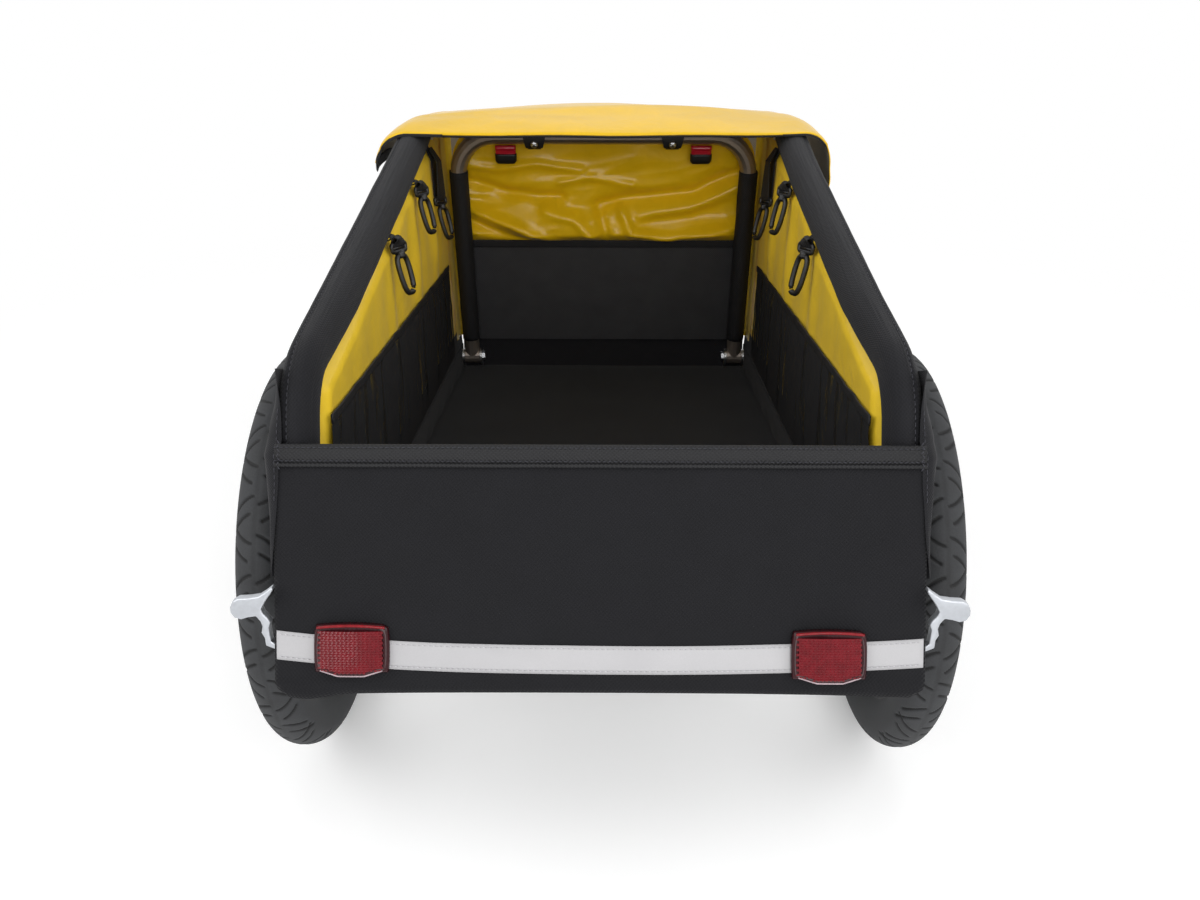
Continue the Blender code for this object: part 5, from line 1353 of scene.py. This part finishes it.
def make_cover(depth):
    """One sheet from flap to flap and from its rear edge to the foot of its apron, with a paler back."""
    half, length = 0.272, 0.43
    reach = half + 0.052

    def point(u, v):
        y, shoulder = cover_station(v)
        apron = clamp((y - 0.533) / 0.022)
        side = -1 if u < 0.5 else 1
        # The shoulder is a long slope over the hoop and a tight one at the rear edge
        radius = 0.032 + 0.040 * clamp((y - 0.330) / 0.16)
        radius *= 1.18 if side < 0 else 1.0
        flat_part = half - radius
        s = abs(2 * u - 1) * (reach - (0.034 if side < 0 else 0.0))
        angle = min(max(0.0, s - flat_part) / radius, math.pi / 2)
        below = max(0.0, s - flat_part - radius * math.pi / 2)
        x = min(s, flat_part) + radius * math.sin(angle)
        drop = radius * (1 - math.cos(angle)) + below
        x += (min(x, half - 0.030) - x) * apron
        drop *= 1 - apron
        hang = clamp((0.412 - y) / 0.094) ** 1.4
        crown = (0.0095 - 0.0118 * hang) * (1 - min(1.0, x / flat_part) ** 2)
        soft = fold_noise((x * side * 0.5, y * 1.3, 0.7), 16) * depth * 0.55
        ridge = depth * 0.27 * math.exp(-((y - 0.398 - 0.012 * math.sin(x * side * 9)) / 0.010) ** 2)
        sag = -0.0020 * math.exp(-((y - 0.372) / 0.016) ** 2) * (1 - (x / half) ** 2)
        edge = -0.0012 * math.exp(-((y - 0.319) / 0.004) ** 2)
        lift = (soft + ridge) * (1 if s < flat_part + 0.02 else 0.4) + sag + edge
        out = fold_noise((y * 2.0, drop * 3, side), 18) * 0.003 if s > half else 0.0
        return Vector((side * (x + out), y + lift * apron * 0.8 + (0.004 * apron * math.sin(x * side * 30) ** 2),
                       shoulder - 0.0004 + (crown + lift) * (1 - apron) - drop))

    cover = add_piece("cover_cloth", grid(point, 180, 96, (2 * reach, length)), "yellow_fabric", "hoop", "cover")
    cover.data.materials.append(finish_for("cloth_back"))
    modify(cover, "SOLIDIFY", thickness=0.0014, offset=-1, material_offset=1, material_offset_rim=0)
    edge = [point(0.16 + 0.68 * i / 90, 0.0) + Vector((0, 0.0022, -0.0022)) for i in range(91)]
    hems = [add_piece("cover_edge", sweep(edge, ring_section(0.0016, 10), Vector((0, 1, 0))), "webbing", "hoop")]
    for word, side in SIDES.items():
        width, drop = (0.012, -0.004) if side < 0 else (0.009, 0.001)
        rear = [point(0.5 + side * (0.5 - 0.17 * i / 24), 0.0) + Vector((-side * 0.0015, -0.0002, -0.0018))
                for i in range(25)]
        bottom = [point(0.5 + side * 0.5, i / 40 * 0.48) + Vector((side * -0.0022, 0, drop)) for i in range(41)]
        corner = run_lengths(rear)[-1]

        def narrow(distance, a, b, _):
            return a * (0.30 + 0.70 * clamp((distance - corner + 0.022) / 0.020)), b

        hem = sweep(rear[::-1] + bottom, strap_section(width, 0.0016), Vector((0, 0, 1)), shape=narrow)
        hems.append(add_piece(f"cover_hem_{word}", hem, "webbing", "hoop"))
    return [cover] + hems


# Floor

class TRAILER_OT_floor(bpy.types.Operator):
    """Adds the cloth floor with its turned-up sides."""

    bl_idname = "trailer.floor"
    bl_label = "Floor"

    def execute(self, context):
        for word, side in SIDES.items():
            make_skirt(word, side)
        make_front_skirt()
        make_floor()
        return {"FINISHED"}


def make_floor():
    """A cloth tray with its edges turned up at both sides."""
    half, rear, front, low, high = 0.2115, -0.255, 0.555, 0.0275, 0.060
    extent = (2 * (half + high - low), front - rear)

    def point(u, v):
        y = rear + (front - rear) * v
        across = (u - 0.5) * extent[0]
        reach = abs(across)
        x = math.copysign(min(reach, half), across)
        sag = fold_noise((x, y, 0), 11) * 0.0012 if reach < half else 0
        return Vector((x, y, low + max(0.0, reach - half) + sag))

    floor = add_piece("floor_cloth", grid(point, 100, 120, extent), "black_fabric", "frame", "floor_tray")
    modify(floor, "SOLIDIFY", thickness=0.003, offset=-1)


def make_skirt(word, side):
    """Cloth that closes the floor's edge to the side wall."""
    def point(u, v):
        x = 0.2108 + 0.0046 * v + 0.0006 * math.sin(u * 60)
        return Vector((side * x, -0.252 + 0.812 * u, 0.0280 + 0.0585 * v))

    add_piece(f"floor_skirt_{word}", grid(point, 60, 6, (0.80, 0.060), -side), "black_fabric", "frame")


def make_front_skirt():
    """Cloth that closes the floor's front edge to the lower front wall."""
    def point(u, v):
        bow = math.sin(math.pi * v) * 0.004
        return Vector(((2 * u - 1) * 0.2115, 0.5480 + 0.0130 * v + bow, 0.0262 + 0.0463 * v))

    add_piece("floor_front_skirt", grid(point, 60, 6, (0.42, 0.045)), "black_fabric", "frame")


# Frame metal

class TRAILER_OT_frame_metal(bpy.types.Operator):
    """Dresses the tubes, hinges, receivers and wheel guards."""

    bl_idname = "trailer.frame_metal"
    bl_label = "Frame metal"

    def execute(self, context):
        names = ["rear_cross_tube", "front_cross_tube", "axle_cross_tube", "tow_bar_bracket"]
        bolts = ["tow_bar_pivot_bolt"]
        for word in SIDES:
            names += [f"floor_side_tube_{word}", f"axle_receiver_{word}", f"side_frame_{word}"]
            bolts += [f"hoop_pivot_bolt_{word}", f"side_hinge_bolt_front_{word}", f"side_hinge_bolt_rear_{word}"]
            make_guard(word, SIDES[word])
        dress("aluminium", *names)
        dress("steel", *bolts)
        return {"FINISHED"}


# The wheel guard's section as (across, up) places: a bulb, an arm up to its tip and a leg down to the floor tube
GUARD_SECTION = (
    (0.2721, 0.0818), (0.2639, 0.0823), (0.2561, 0.0836), (0.2498, 0.0879), (0.2452, 0.0918), (0.2446, 0.0896),
    (0.2470, 0.0857), (0.2516, 0.0796), (0.2554, 0.0731), (0.2544, 0.0691), (0.2514, 0.0651), (0.2495, 0.0616),
    (0.2512, 0.0571), (0.2511, 0.0508), (0.2508, 0.0450), (0.2450, 0.0410), (0.2430, 0.0250), (0.2430, 0.0090),
    (0.2462, 0.0090), (0.2462, 0.0230), (0.2470, 0.0375), (0.2554, 0.0414), (0.2555, 0.0481), (0.2575, 0.0526),
    (0.2561, 0.0582), (0.2571, 0.0625), (0.2601, 0.0669), (0.2660, 0.0660), (0.2716, 0.0642), (0.2765, 0.0656),
    (0.2790, 0.0700), (0.2788, 0.0744), (0.2766, 0.0792),
)


def make_guard(word, side):
    """A short piece of aluminium extrusion behind the tyre, with eased edges."""
    count = len(GUARD_SECTION)
    points = [Vector((side * x, y, z - 0.0016)) for y in (-0.2550, -0.2625) for x, z in GUARD_SECTION]
    faces = mirror(quads(2, count, True) + caps(2, count), side)
    guard = add_piece(f"wheel_guard_bar_{word}", (points, faces), "guard", "frame", f"wheel_guard_{word}")
    modify(guard, "BEVEL", width=0.0011, segments=3, limit_method="ANGLE", angle_limit=math.radians(50))


class TRAILER_OT_tow_bar(bpy.types.Operator):
    """Dresses the tow bar with its strap, flexible link and hitch."""

    bl_idname = "trailer.tow_bar"
    bl_label = "Tow bar"

    def execute(self, context):
        dress("aluminium", "tow_bar")
        dress("elastomer", "hitch_flex")
        dress("steel", "hitch_coupler", "hitch_pin")
        dress("webbing", "safety_strap")
        return {"FINISHED"}


# Stage

class TRAILER_OT_stage(bpy.types.Operator):
    """Adds the pale floor, the soft lights and the camera."""

    bl_idname = "trailer.stage"
    bl_label = "Stage"

    def execute(self, context):
        make_camera(context)
        make_lights(context)
        make_ground(context)
        context.scene.view_settings.view_transform = "Standard"
        return {"FINISHED"}


def make_camera(context):
    """The camera that took the photograph."""
    data = bpy.data.cameras.new("camera")
    data.lens = 30.24
    data.sensor_width = 36
    camera = bpy.data.objects.new("camera", data)
    context.collection.objects.link(camera)
    camera.location = (0.004, -1.2760, 0.7940)
    camera.rotation_euler = (math.radians(60.16), 0, 0.0062)
    context.scene.camera = camera


def make_lights(context):
    """Four wide soft lamps, and a white world that lights the trailer less than it shows."""
    # Each lamp: its place, its width, its power and the height on the trailer that it aims at
    lamps = (("key", (-1.8, -1.1, 1.70), 1.8, 23, 0.3), ("fill", (1.8, -1.1, 1.70), 1.8, 20, 0.3),
             ("back", (0.3, 1.6, 2.2), 1.8, 8, 0.2), ("front", (0.25, -2.5, 1.12), 1.3, 21, 0.45))
    for name, place, size_of, power, aim in lamps:
        data = bpy.data.lights.new(name, "AREA")
        data.size = size_of
        data.energy = power
        lamp = bpy.data.objects.new(name, data)
        context.collection.objects.link(lamp)
        lamp.location = place
        lamp.rotation_euler = (Vector((0, 0, aim)) - Vector(place)).to_track_quat("-Z", "Y").to_euler()
    world = bpy.data.worlds.new("studio")
    context.scene.world = world
    world.use_nodes = True
    tree = world.node_tree
    background = tree.nodes["Background"]
    ray = add_node(tree, "ShaderNodeLightPath")
    seen = add_node(tree, "ShaderNodeMath", {0: ray.outputs["Is Camera Ray"], 1: ray.outputs["Is Glossy Ray"]},
                    operation="MAXIMUM")
    seen = add_node(tree, "ShaderNodeMath", {0: seen, 1: ray.outputs["Is Transmission Ray"]},
                    operation="MAXIMUM")
    add_node(tree, "ShaderNodeMapRange", {"Value": seen, "To Min": 0.50, "To Max": 1.0},
             to=background.inputs["Strength"])
    background.inputs["Color"].default_value = (1, 1, 1, 1)


def make_ground(context):
    """White paper that keeps the trailer's shadow near it and runs out into the white background."""
    mesh = bpy.data.meshes.new("ground")
    mesh.from_pydata([(-9, -9, 0), (9, -9, 0), (9, 9, 0), (-9, 9, 0)], [], [(0, 1, 2, 3)])
    ground = bpy.data.objects.new("ground", mesh)
    context.collection.objects.link(ground)
    made, tree, shader = begin_material("paper_matt_white", linear("f4f4f4"), 0.9)
    output = tree.nodes["Material Output"]
    glow = add_node(tree, "ShaderNodeEmission", {"Color": (1, 1, 1, 1), "Strength": 0.25})
    near = add_node(tree, "ShaderNodeAddShader", {0: shader, 1: glow})
    far = add_node(tree, "ShaderNodeEmission", {"Color": (1, 1, 1, 1), "Strength": 1.0})
    place = add_node(tree, "ShaderNodeTexCoord")
    away = add_node(tree, "ShaderNodeVectorMath", {0: place.outputs["Object"]}, operation="LENGTH")
    reach = {"Value": away.outputs["Value"], "From Min": 0.75, "From Max": 1.5}
    share = add_node(tree, "ShaderNodeMapRange", reach, interpolation_type="SMOOTHSTEP")
    add_node(tree, "ShaderNodeMixShader", {0: share, 1: near, 2: far}, to=output.inputs["Surface"])
    mesh.materials.append(made)


OPERATORS = [TRAILER_OT_wheels, TRAILER_OT_rear_wall, TRAILER_OT_side_walls, TRAILER_OT_sleeves, TRAILER_OT_hooks,
             TRAILER_OT_hoop, TRAILER_OT_front_wall, TRAILER_OT_cover, TRAILER_OT_floor, TRAILER_OT_frame_metal,
             TRAILER_OT_tow_bar, TRAILER_OT_stage]


class TRAILER_PT_panel(bpy.types.Panel):
    """Lists the trailer's sizes, colours and pieces."""

    bl_idname = "TRAILER_PT_panel"
    bl_label = "Cargo trailer"
    bl_space_type = "VIEW_3D"
    bl_region_type = "UI"
    bl_category = "Trailer"

    def draw(self, context):
        layout = self.layout
        for group in (context.scene.trailer_sizes, context.scene.trailer_colours):
            box = layout.box()
            for name in group.bl_rna.properties.keys():
                if name not in ("rna_type", "name"):
                    box.prop(group, name)
        for operator in OPERATORS:
            layout.operator(operator.bl_idname)


CLASSES = [TrailerSizes, TrailerColours] + OPERATORS + [TRAILER_PT_panel]


def register():
    for made in CLASSES:
        bpy.utils.register_class(made)
    bpy.types.Scene.trailer_sizes = PointerProperty(type=TrailerSizes)
    bpy.types.Scene.trailer_colours = PointerProperty(type=TrailerColours)


def unregister():
    del bpy.types.Scene.trailer_colours
    del bpy.types.Scene.trailer_sizes
    for made in reversed(CLASSES):
        bpy.utils.unregister_class(made)


def main():
    register()
    bpy.ops.trailer.wheels()
    bpy.ops.trailer.rear_wall()
    bpy.ops.trailer.side_walls()
    bpy.ops.trailer.sleeves()
    bpy.ops.trailer.hooks()
    bpy.ops.trailer.hoop()
    bpy.ops.trailer.front_wall()
    bpy.ops.trailer.cover()
    bpy.ops.trailer.floor()
    bpy.ops.trailer.frame_metal()
    bpy.ops.trailer.tow_bar()
    bpy.ops.trailer.stage()


if __name__ == "__main__":
    main()
